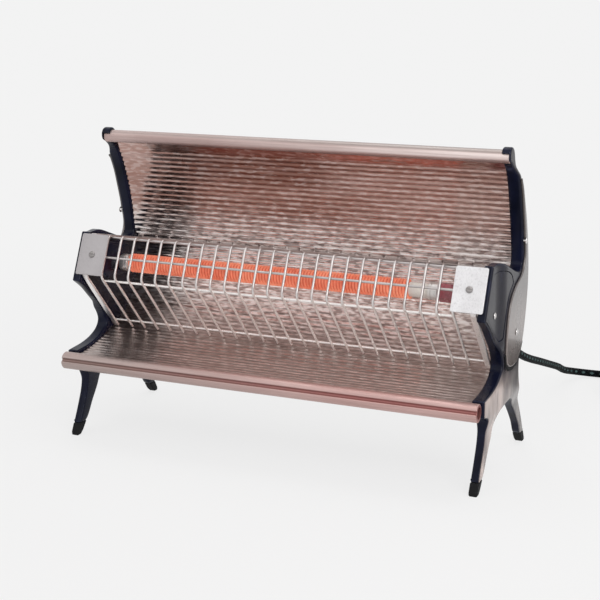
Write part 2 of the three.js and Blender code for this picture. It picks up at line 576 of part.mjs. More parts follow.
// each flat run of the guard is a piece of its own, parted through the middle of the bends
function guardRuns() {
  const path = softened(guardCorners(), 3.2);
  const outline = strip(path, GUARD.wire);
  const bars = [];
  for (let i = 0; i < GUARD.loops; i += 1) {
    const x = (i - (GUARD.loops - 1) / 2) * GUARD.pitch;
    bars.push(solid(alongX(outline, x - GUARD.wire / 2, x + GUARD.wire / 2)));
  }
  const [rear, top, bottom, foot] = guardCorners();
  const between = (a, b, share) =>
    new THREE.Vector2(a[0] + (b[0] - a[0]) * share, a[1] + (b[1] - a[1]) * share);
  const loopsHalf = ((GUARD.loops - 1) / 2) * GUARD.pitch;
  const strapsHalf = GUARD.strapAt + GUARD.strap / 2;
  [-1, 1].forEach((side) => {
    const x = side * GUARD.strapAt;
    bars.push(solid(alongX(outline, x - GUARD.strap / 2, x + GUARD.strap / 2)));
    // behind the end plate a short tie holds the strap to the last loop
    const tie = squareAt(between(top, bottom, 0.22), GUARD.wire, facing);
    bars.push(mirrored(solid(alongX(tie, loopsHalf, strapsHalf)), side));
  });
  // each: from one corner toward another, how far along, and the wire's half length
  const lengthwise = [[rear, top, 0.06, strapsHalf], [rear, top, 0.2, strapsHalf],
    [top, rear, 0.07, loopsHalf], [top, bottom, 0.52, loopsHalf], [bottom, foot, 0.1, loopsHalf],
    [foot, bottom, 0.09, strapsHalf]];
  const centre = new THREE.Vector2(ROD.y, ROD.z);
  lengthwise.forEach(([from, to, share, half]) => {
    const at = between(from, to, share);
    const along = new THREE.Vector2(to[0] - from[0], to[1] - from[1]).normalize();
    const inward = new THREE.Vector2(-along.y, along.x);
    inward.multiplyScalar(Math.sign(inward.dot(centre.clone().sub(at))));
    at.addScaledVector(inward, GUARD.wire - GUARD.weld);
    bars.push(solid(alongX(squareAt(at, GUARD.wire, inward), -half, half)));
  });
  const [rest, roof] = partedAt(wasm.Manifold.union(bars), path[1], path[2]);
  const [base, front] = partedAt(rest, path[3], path[4]);
  return { roof, front, base };
}

// the two sides of a shape parted across the middle of the line from a to b: beyond it, then before it
function partedAt(shape, a, b) {
  const way = new THREE.Vector2(b[0] - a[0], b[1] - a[1]).normalize();
  const at = (way.x * (a[0] + b[0]) + way.y * (a[1] + b[1])) / 2;
  const room = SEAT_GAP / 6;
  return [shape.trimByPlane([0, way.x, way.y], at + room),
    shape.trimByPlane([0, -way.x, -way.y], room - at)];
}

function squareAt(at, wide, way) {
  const h = wide / 2;
  return [[-h, -h], [h, -h], [h, h], [-h, h]]
    .map(([a, b]) => [at.x + a * way.x - b * way.y, at.y + a * way.y + b * way.x]);
}

function guardPlate(side) {
  const outline = [onPlane(0, 0), onPlane(plateTall, 0), onPlane(plateTall, PLATE.thick),
    onPlane(0, PLATE.thick)];
  const hole = bar(plateScrewFrom(-3), plateScrewFrom(6), plateHole, plateHole, 10);
  const plate = solid(alongX(outline, plateLeft, plateLeft + PLATE.wide)).subtract(solid(hole));
  return mirrored(plate, side);
}

// ---------------------------------------------------------------- heating element
function windingPoints() {
  const steps = WINDING.turns * WINDING.steps;
  const long = windingRight - windingLeft;
  const centres = [];
  for (let i = 0; i <= steps; i += 1) {
    const turn = (i / WINDING.steps) * 2 * Math.PI;
    centres.push(new THREE.Vector3(windingLeft + (long * i) / steps,
      ROD.y + WINDING.r * Math.cos(turn), ROD.z + WINDING.r * Math.sin(turn)));
  }
  return centres;
}

function winding() {
  const centres = windingPoints();
  console.log(`element_winding least gap ${leastGap(centres, WINDING.wire, 6).toFixed(2)} mm`);
  const outward = (i) => new THREE.Vector3(0, centres[i].y - ROD.y, centres[i].z - ROD.z);
  return wound(centres, WINDING.wire, 5, outward);
}

function cap(side) {
  const rodEnd = side > 0 ? rodRight : -rodLeft;
  const shell = solid(rodX(rodEnd - CAP.cup, rodEnd + CAP.long - CAP.cup, CAP.r, ROD.y, ROD.z, 20));
  const cup = solid(rodX(rodEnd - CAP.cup - 1, rodEnd + SEAT_GAP, ROD.r + SEAT_GAP, ROD.y, ROD.z, 20));
  return mirrored(shell.subtract(cup), side);
}

const capFace = (side) => (side > 0 ? rodRight : -rodLeft) + CAP.long - CAP.cup;
const nutSeat = housingInner + HOUSING.wall + SEAT_GAP + BUSH.flangeThick + SEAT_GAP;

// ---------------------------------------------------------------- inside the ends
function bush(side) {
  const wallEnd = housingInner + HOUSING.wall + SEAT_GAP;
  const neck = solid(rodX(housingInner, wallEnd + 0.4, BUSH.r, ROD.y, ROD.z));
  const flange = solid(rodX(wallEnd, wallEnd + BUSH.flangeThick, BUSH.flange, ROD.y, ROD.z));
  const bore = solid(rodX(housingInner - 1, wallEnd + 4, STUD.r + SEAT_GAP, ROD.y, ROD.z));
  return mirrored(neck.add(flange).subtract(bore), side);
}

function nut(side) {
  const hex = solid(rodX(nutSeat, nutSeat + STUD.nutThick, STUD.nut, ROD.y, ROD.z, 6));
  return mirrored(hex.subtract(solid(rodX(nutSeat - 1, nutSeat + 9, STUD.r + SEAT_GAP, ROD.y, ROD.z))), side);
}

function holder() {
  const outline = ringPoints(ROD.y, ROD.z, HOLDER.half / Math.cos(Math.PI / 8), 8);
  const body = solid(alongX(outline, holderLeft, housingInner - SEAT_GAP, HOLDER.bevel));
  return body.subtract(solid(rodX(holderLeft - 1, housingInner + 1, STUD.r + SEAT_GAP, ROD.y, ROD.z)));
}

function terminalBlock() {
  const { y, z, wide, tall, deep, screw: r } = BLOCK;
  const x0 = CHAMBER.floor + SEAT_GAP;
  let body = solid(block(x0, x0 + deep, y - wide / 2, y + wide / 2, z - tall / 2, z + tall / 2));
  [-1, 0, 1].forEach((row) => {
    body = body.subtract(solid(rodX(x0 + deep - 3, x0 + deep + 1, r + SEAT_GAP, y, z + row * 7, 8)));
  });
  return body;
}

// ---------------------------------------------------------------- cord entry
const bootWay = [0, Math.cos(BOOT.tilt), -Math.sin(BOOT.tilt)];
const bootPoint = (far) => [BOOT.x, BOOT.y + bootWay[1] * far, BOOT.z + bootWay[2] * far];

function bootShape(r) {
  return bar(bootPoint(-BOOT.inside - SEAT_GAP), bootPoint(14), r, r, 14);
}

const boot = () => bar(bootPoint(-BOOT.inside), bootPoint(BOOT.long - BOOT.inside), BOOT.r0, BOOT.r1, 16);

// a dark moulding that closes the rounded lower end of the side cover
function grommetOutline(grow = 0) {
  const inner = [COVER_FRONT[COVER_FRONT.length - 1], ...COVER_END, COVER_REAR[0]];
  const near = offset(inner, -(2 * SEAT_GAP) + grow);
  const far = offset(inner, -(2 * SEAT_GAP) - GROMMET.wide - grow);
  return [...near, ...far.reverse()];
}

function grommet() {
  return alongX(grommetOutline(), OUTER - GROMMET.sunk + SEAT_GAP, OUTER + GROMMET.proud, 0.5);
}

// ---------------------------------------------------------------- leads
function leads() {
  const pocketX = (CHAMBER.floor + OUTER) / 2 - 1;
  const start = nutSeat + STUD.nutThick + STUD.proud + 1.6;
  const near = BLOCK.z + BLOCK.tall / 2 + SEAT_GAP;
  const right = through([[start, ROD.y, ROD.z], [start + 4, ROD.y + 1, ROD.z], [pocketX, -9, 155],
    [pocketX, -3, 153], [pocketX, 3, 148], [pocketX + 0.5, BLOCK.y - 2, 142],
    [pocketX + 0.5, BLOCK.y - 2, near]]);
  piece('lead_right', tube(right, LEAD.r, LEAD.sides, 22), BRAID);
  const [cy, cz] = LEAD.cross;
  const hole = [POCKET_HOLE.y, POCKET_HOLE.z];
  const leftPart = [[-start, ROD.y, ROD.z], [-start - 4, ROD.y + 1, ROD.z], [-pocketX, -9, 155],
    [-pocketX, -3, 153], [-pocketX, 3, 146], [-pocketX, 12, 134], [-pocketX, hole[0] - 3, 116],
    [-pocketX, ...hole],
    [-INNER, ...hole], [-INNER + 12, hole[0], hole[1] - 3], [-INNER + 24, cy, cz]];
  const rightPart = [[INNER - 24, cy, cz], [INNER - 12, hole[0], hole[1] - 3], [INNER, ...hole],
    [pocketX - 0.5, ...hole], [pocketX, hole[0] - 1, hole[1] + 3.6],
    [pocketX + 0.5, BLOCK.y + 3, BLOCK.z - BLOCK.tall / 2 - 2 * SEAT_GAP]];
  piece('lead_left', tube(through([...leftPart, ...rightPart]), LEAD.r, LEAD.sides, 50), BRAID);
}

// ---------------------------------------------------------------- cord, coil and plug
function coilCentres() {
  const perTurn = 24;
  const turns = COIL.layers * COIL.turnsPerLayer;
  const centres = [];
  for (let i = 0; i <= turns * perTurn; i += 1) {
    const turn = i / perTurn;
    const layer = Math.min(Math.floor(turn / COIL.turnsPerLayer), COIL.layers - 1);
    const within = turn - layer * COIL.turnsPerLayer;
    const middle = COIL.turnsPerLayer / 2;
    const inward = layer % 2 ? -1 : 1;
    const r = COIL.r + inward * (middle - within) * COIL.pitch;
    let height = layer;
    if (layer < COIL.layers - 1 && within > COIL.turnsPerLayer - 0.25) {
      height += smoothStep((within - (COIL.turnsPerLayer - 0.25)) * 2);
    }
    if (layer > 0 && within < 0.25) {
      height += smoothStep(0.5 + within * 2) - 1;
    }
    const angle = Math.PI / 2 - turn * 2 * Math.PI;
    centres.push(new THREE.Vector3(
      COIL.x + r * Math.cos(angle), COIL.y + r * Math.sin(angle), COIL.z + height * COIL.rise));
  }
  return centres;
}
const smoothStep = (t) => t * t * (3 - 2 * t);

function straightEnd(centres, long) {
  const first = centres[0];
  const way = first.clone().sub(centres[1]).setZ(0).normalize();
  return [first.clone().addScaledVector(way, long), ...centres];
}

function coil() {
  const ring = coilCentres();
  const both = straightEnd(straightEnd(ring, CORD.d).reverse(), CORD.d).reverse();
  console.log(`cord_coil least gap ${leastGap(both, CORD.d / 2, 16).toFixed(2)} mm`);
  return { centres: both, shape: wound(both, CORD.d / 2, 6, () => new THREE.Vector3(0, 0, 1)) };
}

function cordPieces() {
  const { centres, shape } = coil();
  piece('cord_coil', shape, BRAID);
  const start = centres[0];
  const end = centres[centres.length - 1];
  const away = (a, b, far) => a.clone().addScaledVector(a.clone().sub(b).setZ(0).normalize(), far);
  const exit = bootPoint(BOOT.long - BOOT.inside + SEAT_GAP);
  const route = [exit, bootPoint(BOOT.long - BOOT.inside + 9), ...CORD_ROUTE,
    away(start, centres[1], 9).toArray(), away(start, centres[1], SEAT_GAP).toArray()];
  const curve = through(route);
  piece('cord', tube(curve, CORD.d / 2, CORD.sides, 48), BRAID);
  const entry = [PLUG_AT.x, PLUG_AT.y + PLUG.tall / 2 + PLUG.collarLong + SEAT_GAP, TAIL_ROUTE_LIFT];
  const before = centres[centres.length - 2];
  const tail = through([away(end, before, SEAT_GAP).toArray(), away(end, before, 9).toArray(),
    [entry[0] + 8, entry[1] + 19, TAIL_ROUTE_LIFT + 5], [entry[0], entry[1] + 7, TAIL_ROUTE_LIFT], entry]);
  piece('cord_end', tube(tail, CORD.d / 2, CORD.sides, 12), BRAID);
  console.log(`cord length ${(curve.getLength() + pathLength3(centres) + tail.getLength()).toFixed(0)} mm`);
}

const pathLength3 = (points) => points.slice(1).reduce((sum, p, i) => sum + p.distanceTo(points[i]), 0);

function tie() {
  const angle = TIE.at;
  const reach = (COIL.turnsPerLayer / 2) * COIL.pitch + CORD.d / 2 + 1.2;
  const high = COIL.z + (COIL.layers - 1) * COIL.rise + CORD.d / 2 + 0.5;
  const low = TIE.thick;
  const far = reach + TIE.thick;
  const outer = block(-TIE.wide / 2, TIE.wide / 2, -far, far, 0, high + TIE.thick);
  const inner = block(-TIE.wide, TIE.wide, -reach, reach, low, high);
  const ring = solid(outer).subtract(solid(inner));
  const geometry = geometryOf(ring);
  return geometry.rotateZ(angle - Math.PI / 2)
    .translate(COIL.x + COIL.r * Math.cos(angle), COIL.y + COIL.r * Math.sin(angle), 0);
}

function plug() {
  const { wide, tall, thick } = PLUG;
  const shape = new THREE.Shape();
  const [hw, ht] = [wide / 2, tall / 2];
  const corners = [[-hw + 6, ht], [-hw, ht - 10], [-hw, -ht + 8], [-hw + 8, -ht], [hw - 8, -ht],
    [hw, -ht + 8], [hw, ht - 10], [hw - 6, ht]];
  corners.forEach(([x, y], i) => shape[i ? 'lineTo' : 'moveTo'](x, y));
  const body = new THREE.ExtrudeGeometry(shape, {
    depth: thick - 2 * PLUG.edge,
    bevelEnabled: true,
    bevelSize: PLUG.edge,
    bevelOffset: -PLUG.edge,
    bevelThickness: PLUG.edge,
    bevelSegments: 2,
  }).translate(PLUG_AT.x, PLUG_AT.y, PLUG.edge);
  const collar = bar([PLUG_AT.x, PLUG_AT.y + ht - 3, TAIL_ROUTE_LIFT],
    [PLUG_AT.x, PLUG_AT.y + ht + PLUG.collarLong, TAIL_ROUTE_LIFT], PLUG.collar + 1, PLUG.collar - 1, 14);
  piece('plug_body', solid(body).add(solid(collar)), PLASTIC);
  const pin = (name, x, y, w, d, long) => {
    const base = thick + SEAT_GAP / 3;
    piece(name, block(x - w / 2, x + w / 2, y - d / 2, y + d / 2, base, base + long), BRASS);
  };
  const cy = PLUG_AT.y + 6;
  pin('plug_pin_live', PLUG_AT.x - PLUG.apart / 2, cy, PLUG.pinWide, PLUG.pinThick, PLUG.pinLong);
  pin('plug_pin_neutral', PLUG_AT.x + PLUG.apart / 2, cy, PLUG.pinWide, PLUG.pinThick, PLUG.pinLong);
  pin('plug_pin_earth', PLUG_AT.x, cy - PLUG.earthBack, PLUG.pinThick, PLUG.earthWide, PLUG.earthLong);
}

// ---------------------------------------------------------------- assembly
[-1, 1].forEach((side) => {
  const name = sideName(side);
  piece(`end_casting_${name}`, casting(side), ENAMEL);
  piece(`side_cover_${name}`, sideCover(side), COVER_ENAMEL);
  piece(`terminal_cover_${name}`, cheekCover(side), ENAMEL);
  sideScrews(side);
  piece(`foot_cap_front_${name}`, footCap(side, frontEdges), RUBBER);
  piece(`foot_cap_rear_${name}`, footCap(side, rearEdges), RUBBER);
  piece(`guard_plate_${name}`, guardPlate(side), PLATE_FINISH);
  const [sy, sz] = onPlane(plateTall / 2, -SEAT_GAP / 3);
  const plateScrew = screw([plateMiddle, sy, sz], [0, facing.x, facing.y], PLATE_SCREW);
  piece(`guard_screw_${name}`, mirrored(plateScrew, side), STEEL);
  const backScrew = screw(backScrewFrom(SEAT_GAP / 3), [0, 1, 0],
    BACK_SCREW);
  piece(`back_screw_${name}`, mirrored(backScrew, side), STEEL);
  piece(`element_cap_${name}`, cap(side), STEEL);
  piece(`terminal_bush_${name}`, bush(side), CERAMIC);
  piece(`terminal_nut_${name}`, nut(side), BRASS);
  const studEnd = nutSeat + STUD.nutThick + STUD.proud;
  const stud = solid(rodX(capFace(side) + SEAT_GAP, studEnd, STUD.r, ROD.y, ROD.z, 12));
  piece(`terminal_stud_${name}`, mirrored(stud, side), BRASS);
});

piece('reflector', reflector(), COPPER);
piece('top_rail', topRail(), ROSE);
piece('bottom_rail', bottomRail(), ROSE);
piece('back_panel', backPanel(), BACK_PAINT);
const { roof, front, base } = guardRuns();
piece('guard_roof', roof, CHROME);
piece('guard_front', front, CHROME);
piece('guard_base', base, CHROME);
piece('element_rod', rodX(rodLeft, rodRight, ROD.r, ROD.y, ROD.z, ROD.steps), CERAMIC);
piece('element_winding', winding(), GLOW);
piece('element_holder', holder(), MAROON);
piece('terminal_block', terminalBlock(), CERAMIC);
leads();
piece('cord_grommet', grommet(), RUBBER);
piece('cord_boot', boot(), RUBBER);
cordPieces();
piece('cord_tie', tie(), RUBBER);
plug();

// the origin goes to the floor under the middle of the heater itself
const LOOSE = ['cord', 'cord_end', 'cord_coil', 'cord_tie', 'plug_body', 'plug_pin_live',
  'plug_pin_neutral', 'plug_pin_earth', 'cord_boot'];
const box = new THREE.Box3();
group.children.filter((mesh) => !LOOSE.includes(mesh.name))
  .forEach((mesh) => box.union(new THREE.Box3().setFromObject(mesh)));
const middle = box.getCenter(new THREE.Vector3());
group.position.set(-middle.x, -middle.y, -box.min.z);

export default group;
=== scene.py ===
import math
from contextlib import contextmanager

import bmesh
import bpy
import numpy as np
from mathutils import Matrix, Vector


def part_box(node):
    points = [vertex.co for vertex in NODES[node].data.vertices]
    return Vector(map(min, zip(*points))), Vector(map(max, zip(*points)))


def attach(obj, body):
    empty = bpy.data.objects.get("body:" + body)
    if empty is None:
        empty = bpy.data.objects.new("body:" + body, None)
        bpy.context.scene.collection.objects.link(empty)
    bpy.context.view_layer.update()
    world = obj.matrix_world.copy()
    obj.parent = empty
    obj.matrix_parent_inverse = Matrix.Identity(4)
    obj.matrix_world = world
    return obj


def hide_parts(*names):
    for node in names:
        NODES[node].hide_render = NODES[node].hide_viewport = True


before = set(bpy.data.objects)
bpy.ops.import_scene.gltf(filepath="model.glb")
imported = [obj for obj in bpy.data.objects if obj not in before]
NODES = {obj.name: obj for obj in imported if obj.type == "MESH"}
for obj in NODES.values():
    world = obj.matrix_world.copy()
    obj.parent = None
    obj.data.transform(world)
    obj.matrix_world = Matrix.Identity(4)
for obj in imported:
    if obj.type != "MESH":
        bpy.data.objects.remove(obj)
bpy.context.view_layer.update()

MM = 0.001
GAP = 0.3
TOP_RAIL = {"y": 6, "z": 264.6, "r": 5.6, "past": 6.4}
LOW_RAIL = {"y": -76, "z": 72.2, "r": 7.6, "half": 192.7, "groove": 162, "dent": 1.9, "spread": 0.22}
# from the drawing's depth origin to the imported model's, in mm
SHIFT = sum(corner[1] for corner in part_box("top_rail")) / 2 / MM - TOP_RAIL["y"]


def at(x, y, z):
    """A point of the drawing, in mm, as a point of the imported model, in metres."""
    return Vector((x, y + SHIFT, z)) * MM


def add_object(name, data):
    obj = bpy.data.objects.new(name, data)
    bpy.context.collection.objects.link(obj)
    return obj


# ---- camera
AZIMUTH, ELEVATION, ROLL = (math.radians(a) for a in (24.026, 14.369, -0.499))
CAMERA_AT = (478.36, -1061.52, 426.51)
LENS = 81.52


def make_camera():
    data = bpy.data.cameras.new("camera")
    data.lens = LENS
    data.sensor_width = 36
    data.clip_start, data.clip_end = 0.05, 50
    camera = add_object("camera", data)
    aim = Matrix.Rotation(AZIMUTH, 4, "Z") @ Matrix.Rotation(math.pi / 2 - ELEVATION, 4, "X")
    camera.matrix_world = Matrix.Translation(at(*CAMERA_AT)) @ aim @ Matrix.Rotation(ROLL, 4, "Z")
    bpy.context.scene.camera = camera


# ---- mesh tools
@contextmanager
def opened(mesh):
    """The mesh open for edits, written back at the end."""
    bm = bmesh.new()
    bm.from_mesh(mesh)
    yield bm
    bm.to_mesh(mesh)
    bm.free()


def tidy_normals(mesh):
    with opened(mesh) as bm:
        bmesh.ops.recalc_face_normals(bm, faces=bm.faces)


def sliced(bm, point, way, **more):
    """Parts every face by a plane and keeps both sides."""
    everything = [*bm.verts, *bm.edges, *bm.faces]
    return bmesh.ops.bisect_plane(bm, geom=everything, plane_co=point, plane_no=way, **more)


def new_object(name, verts, faces, uvs=None):
    """A mesh object; uvs has one pair for every corner of every face, in order."""
    mesh = bpy.data.meshes.new(name)
    mesh.from_pydata([tuple(v) for v in verts], [], faces)
    if uvs is not None:
        layer = mesh.uv_layers.new(name="UVMap")
        layer.data.foreach_set("uv", [c for uv in uvs for c in uv])
    mesh.validate()
    mesh.update()
    tidy_normals(mesh)
    mesh.shade_smooth()
    return add_object(name, mesh)


def solid(name, rings, uvs=None):
    """A closed solid through rings of points that follow one another, capped at both ends."""
    rows, n = len(rings), len(rings[0])
    faces = []
    for i in range(rows - 1):
        for k in range(n):
            j = (k + 1) % n
            faces.append((i * n + k, i * n + j, (i + 1) * n + j, (i + 1) * n + k))
    faces += [tuple(range(n))[::-1], tuple(range((rows - 1) * n, rows * n))]
    return new_object(name, [p for ring in rings for p in ring], faces, uvs)


def apply_modifiers(obj):
    graph = bpy.context.evaluated_depsgraph_get()
    made = bpy.data.meshes.new_from_object(obj.evaluated_get(graph), depsgraph=graph)
    old = obj.data
    obj.modifiers.clear()
    obj.data = made
    bpy.data.meshes.remove(old)
    return obj


def shade(obj, angle=32):
    """Smooth shading that keeps flat faces flat and edges over the angle sharp."""
    obj.data.shade_smooth()
    obj.data.set_sharp_from_angle(angle=math.radians(angle))
    weigh = obj.modifiers.new("weigh", "WEIGHTED_NORMAL")
    weigh.keep_sharp = True
    return apply_modifiers(obj)


def join(name, parts):
    """One mesh from several objects, which are removed."""
    bm = bmesh.new()
    for part in parts:
        bm.from_mesh(part.data)
    mesh = bpy.data.meshes.new(name)
    bm.to_mesh(mesh)
    bm.free()
    for part in parts:
        bpy.data.objects.remove(part)
    return add_object(name, mesh)


def cut(obj, cutter):
    edit = obj.modifiers.new("cut", "BOOLEAN")
    edit.operation = "DIFFERENCE"
    edit.solver = "EXACT"
    edit.object = cutter
    apply_modifiers(obj)
    bpy.data.objects.remove(cutter)


def lengths(path):
    """How far along a path each of its points is."""
    return np.concatenate([[0], np.cumsum(np.linalg.norm(np.diff(path, axis=0), axis=1))])


def smooth_path(points, step):
    """Points a step apart on a centripetal curve through the given ones."""
    p = np.array(points, float)
    p = np.vstack([2 * p[0] - p[1], p, 2 * p[-1] - p[-2]])
    t = np.linspace(0, 1, 40, endpoint=False)[:, None]
    out = []
    for i in range(1, len(p) - 2):
        q0, q1, q2, q3 = p[i - 1:i + 3]
        d0, d1, d2 = (max(np.linalg.norm(b - a) ** 0.5, 1e-6) for a, b in ((q0, q1), (q1, q2), (q2, q3)))
        t1 = ((q1 - q0) / d0 - (q2 - q0) / (d0 + d1) + (q2 - q1) / d1) * d1
        t2 = ((q2 - q1) / d1 - (q3 - q1) / (d1 + d2) + (q3 - q2) / d2) * d1
        first = (2 * t**3 - 3 * t**2 + 1) * q1 + (t**3 - 2 * t**2 + t) * t1
        out.append(first + (3 * t**2 - 2 * t**3) * q2 + (t**3 - t**2) * t2)
    dense = np.vstack([*out, p[-2]])
    far = lengths(dense)
    want = np.linspace(0, far[-1], max(2, int(round(far[-1] / step)) + 1))
    return np.stack([np.interp(want, far, dense[:, k]) for k in range(dense.shape[1])], axis=1)


def normals_2d(path):
    along = np.gradient(path, axis=0)
    along /= np.linalg.norm(along, axis=1)[:, None]
    return np.stack([-along[:, 1], along[:, 0]], axis=1)


def turned_corner(a, c, b, t):
    """A point of the quadratic curve from a to b round their corner c."""
    return tuple(a * (1 - t) ** 2 + c * 2 * t * (1 - t) + b * t**2)


def angles(count, first=0.0):
    return [2 * math.pi * (k + first) / count for k in range(count)]


def circle(y, z, r, n=64):
    return [(y + r * math.cos(a), z + r * math.sin(a)) for a in angles(n)]


def tube(name, centres, radius, sides, first_up=(0, 0, 1)):
    """A capped tube through 3-D points in metres, with a UV of metres along and turns round."""
    n = len(centres)
    up = Vector(first_up)
    rings, marks, uvs = [], [0.0], []
    for i, centre in enumerate(centres):
        along = (centres[min(i + 1, n - 1)] - centres[max(i - 1, 0)]).normalized()
        up = (up - along * up.dot(along)).normalized()
        side = along.cross(up)
        spots = [(radius * math.cos(a), radius * math.sin(a)) for a in angles(sides)]
        rings.append([centre + up * high + side * wide for high, wide in spots])
        if i:
            marks.append(marks[-1] + (centre - centres[i - 1]).length)
    for low, high in zip(marks, marks[1:]):
        for k in range(sides):
            a, b = k / sides, (k + 1) / sides
            uvs += [(low, a), (low, b), (high, b), (high, a)]
    return solid(name, rings, uvs + [(0.0, 0.0)] * sides * 2)


def lathe(name, profile, start, way, sides=40):
    """A closed turned solid: profile points are (distance along, radius) in mm."""
    turn = Vector((0, 0, 1)).rotation_difference(Vector(way).normalized()).to_matrix()
    rings = []
    for far, r in profile:
        spots = [Vector((r * math.cos(a), r * math.sin(a), far)) for a in angles(sides)]
        rings.append([Vector(start) + turn @ spot * MM for spot in spots])
    return shade(solid(name, rings))


def rim(r, long, edge):
    """Profile points of a cylinder's outside, with rounded ends."""
    turns = [math.radians(a) for a in (0, 30, 60, 90)]
    arc = [(edge * (1 - math.sin(a)), r - edge * (1 - math.cos(a))) for a in turns]
    return arc[::-1] + [(long - far, wide) for far, wide in arc]


# ---- outlines from the frame's own pieces
def section(node, x):
    """The largest outline of a node cut at x, in mm, as (depth, height) in metres."""
    bm = bmesh.new()
    bm.from_mesh(NODES[node].data)
    bmesh.ops.remove_doubles(bm, verts=bm.verts, dist=1e-6)
    got = sliced(bm, (x * MM, 0, 0), (1, 0, 0), dist=1e-7)
    near = {}
    for a, b in (e.verts for e in got["geom_cut"] if isinstance(e, bmesh.types.BMEdge)):
        near.setdefault(a, []).append(b)
        near.setdefault(b, []).append(a)
    best, seen = [], set()
    for start in sorted(near, key=lambda v: (v.co.y, v.co.z)):
        ring, now, before = [], start, None
        while now is not None and now not in seen:
            seen.add(now)
            ring.append((now.co.y, now.co.z))
            following = [v for v in near[now] if v is not before and v not in seen]
            before, now = now, (following[0] if following else None)
        if abs(ring_area(ring)) > abs(ring_area(best)):
            best = ring
    bm.free()
    if ring_area(best) < 0:
        best.reverse()
    return thin_out(best)


def ring_area(ring):
    return sum(a[0] * b[1] - b[0] * a[1] for a, b in zip(ring, ring[1:] + ring[:1])) / 2


def thin_out(ring, least=2e-5):
    """Drops points that lie on the straight line between their neighbours."""
    kept = []
    n = len(ring)
    for i in range(n):
        a, p, b = (Vector(ring[(i + k) % n]) for k in (-1, 0, 1))
        off = abs((b - a).cross(p - a)) / max((b - a).length, 1e-9)
        if (p - a).length >= least and off > least:
            kept.append(ring[i])
    return kept


def flowing(ring, corner=62, radius=0.0012, step=0.002):
    """Curves through a ring's points, with a small fillet where it turns by more than corner degrees."""
    n = len(ring)
    pts = [Vector(p) for p in ring]
    turns = [(pts[i] - pts[i - 1]).angle(pts[(i + 1) % n] - pts[i]) for i in range(n)]
    hard = [i for i in range(n) if math.degrees(turns[i]) > corner]
    out = []
    for i, j in zip(hard, hard[1:] + hard[:1]):
        run = [i]
        while run[-1] != j:
            run.append((run[-1] + 1) % n)
        path = smooth_path([tuple(pts[m]) for m in run], step)
        cut_back = min(radius, np.linalg.norm(path[0] - path[-1]) * 0.3)
        far = lengths(path)
        low, high = cut_back, far[-1] - cut_back
        inner = [tuple(p) for p, d in zip(path, far) if low < d < high]
        first, last = (tuple(np.interp(d, far, path[:, m]) for m in (0, 1)) for d in (low, high))
        out.append(([first, *inner, last], pts[i]))
    smooth = []
    for (run, corner_point), (before, _) in zip(out, out[-1:] + out[:-1]):
        a, b = Vector(before[-1]), Vector(run[0])
        smooth += [turned_corner(a, corner_point, b, t) for t in (0.25, 0.5, 0.75)] + run
    return smooth


def grown(ring, by):
    p = np.array(ring)
    along = np.roll(p, -1, axis=0) - np.roll(p, 1, axis=0)
    along /= np.linalg.norm(along, axis=1)[:, None]
    return [tuple(q) for q in p + np.stack([along[:, 1], -along[:, 0]], axis=1) * by]


def plate(name, ring, x0, x1, edge, steps=4):
    """A flat plate with rounded edges: the ring is (depth, height) in metres, the rest is in mm."""
    data = bpy.data.curves.new(name, "CURVE")
    data.dimensions = "2D"
    data.fill_mode = "BOTH"
    data.extrude = ((x1 - x0) / 2 - edge) * MM
    data.bevel_depth = edge * MM
    data.bevel_resolution = steps - 1
    data.offset = -edge * MM
    spline = data.splines.new("POLY")
    spline.points.add(len(ring) - 1)
    spline.points.foreach_set("co", [c for y, z in ring for c in (y, z, 0, 1)])
    spline.use_cyclic_u = True
    flat = add_object(name + "_curve", data)
    graph = bpy.context.evaluated_depsgraph_get()
    mesh = bpy.data.meshes.new_from_object(flat.evaluated_get(graph))
    bpy.data.objects.remove(flat)
    mesh.transform(Matrix(((0, 0, 1, (x0 + x1) / 2 * MM), (1, 0, 0, 0), (0, 1, 0, 0), (0, 0, 0, 1))))
    with opened(mesh) as bm:
        bmesh.ops.remove_doubles(bm, verts=bm.verts, dist=2e-6)
        bmesh.ops.recalc_face_normals(bm, faces=bm.faces)
    return add_object(name, mesh)


def mirrored(obj, name):
    twin = add_object(name, obj.data.copy())
    twin.data.transform(Matrix.Scale(-1, 4, (1, 0, 0)))
    tidy_normals(twin.data)
    return twin


def softened(node, name, width, segments=3, angle=30):
    """A copy of a node with its edges rounded."""
    mesh = NODES[node].data.copy()
    with opened(mesh) as bm:
        bmesh.ops.remove_doubles(bm, verts=bm.verts, dist=1e-6)
        bmesh.ops.dissolve_limit(bm, angle_limit=math.radians(3), verts=bm.verts, edges=bm.edges)
    mesh.materials.clear()
    obj = add_object(name, mesh)
    bevel = obj.modifiers.new("round", "BEVEL")
    bevel.limit_method = "ANGLE"
    bevel.angle_limit = math.radians(angle)
    bevel.width = width * MM
    bevel.segments = segments
    return shade(apply_modifiers(obj))


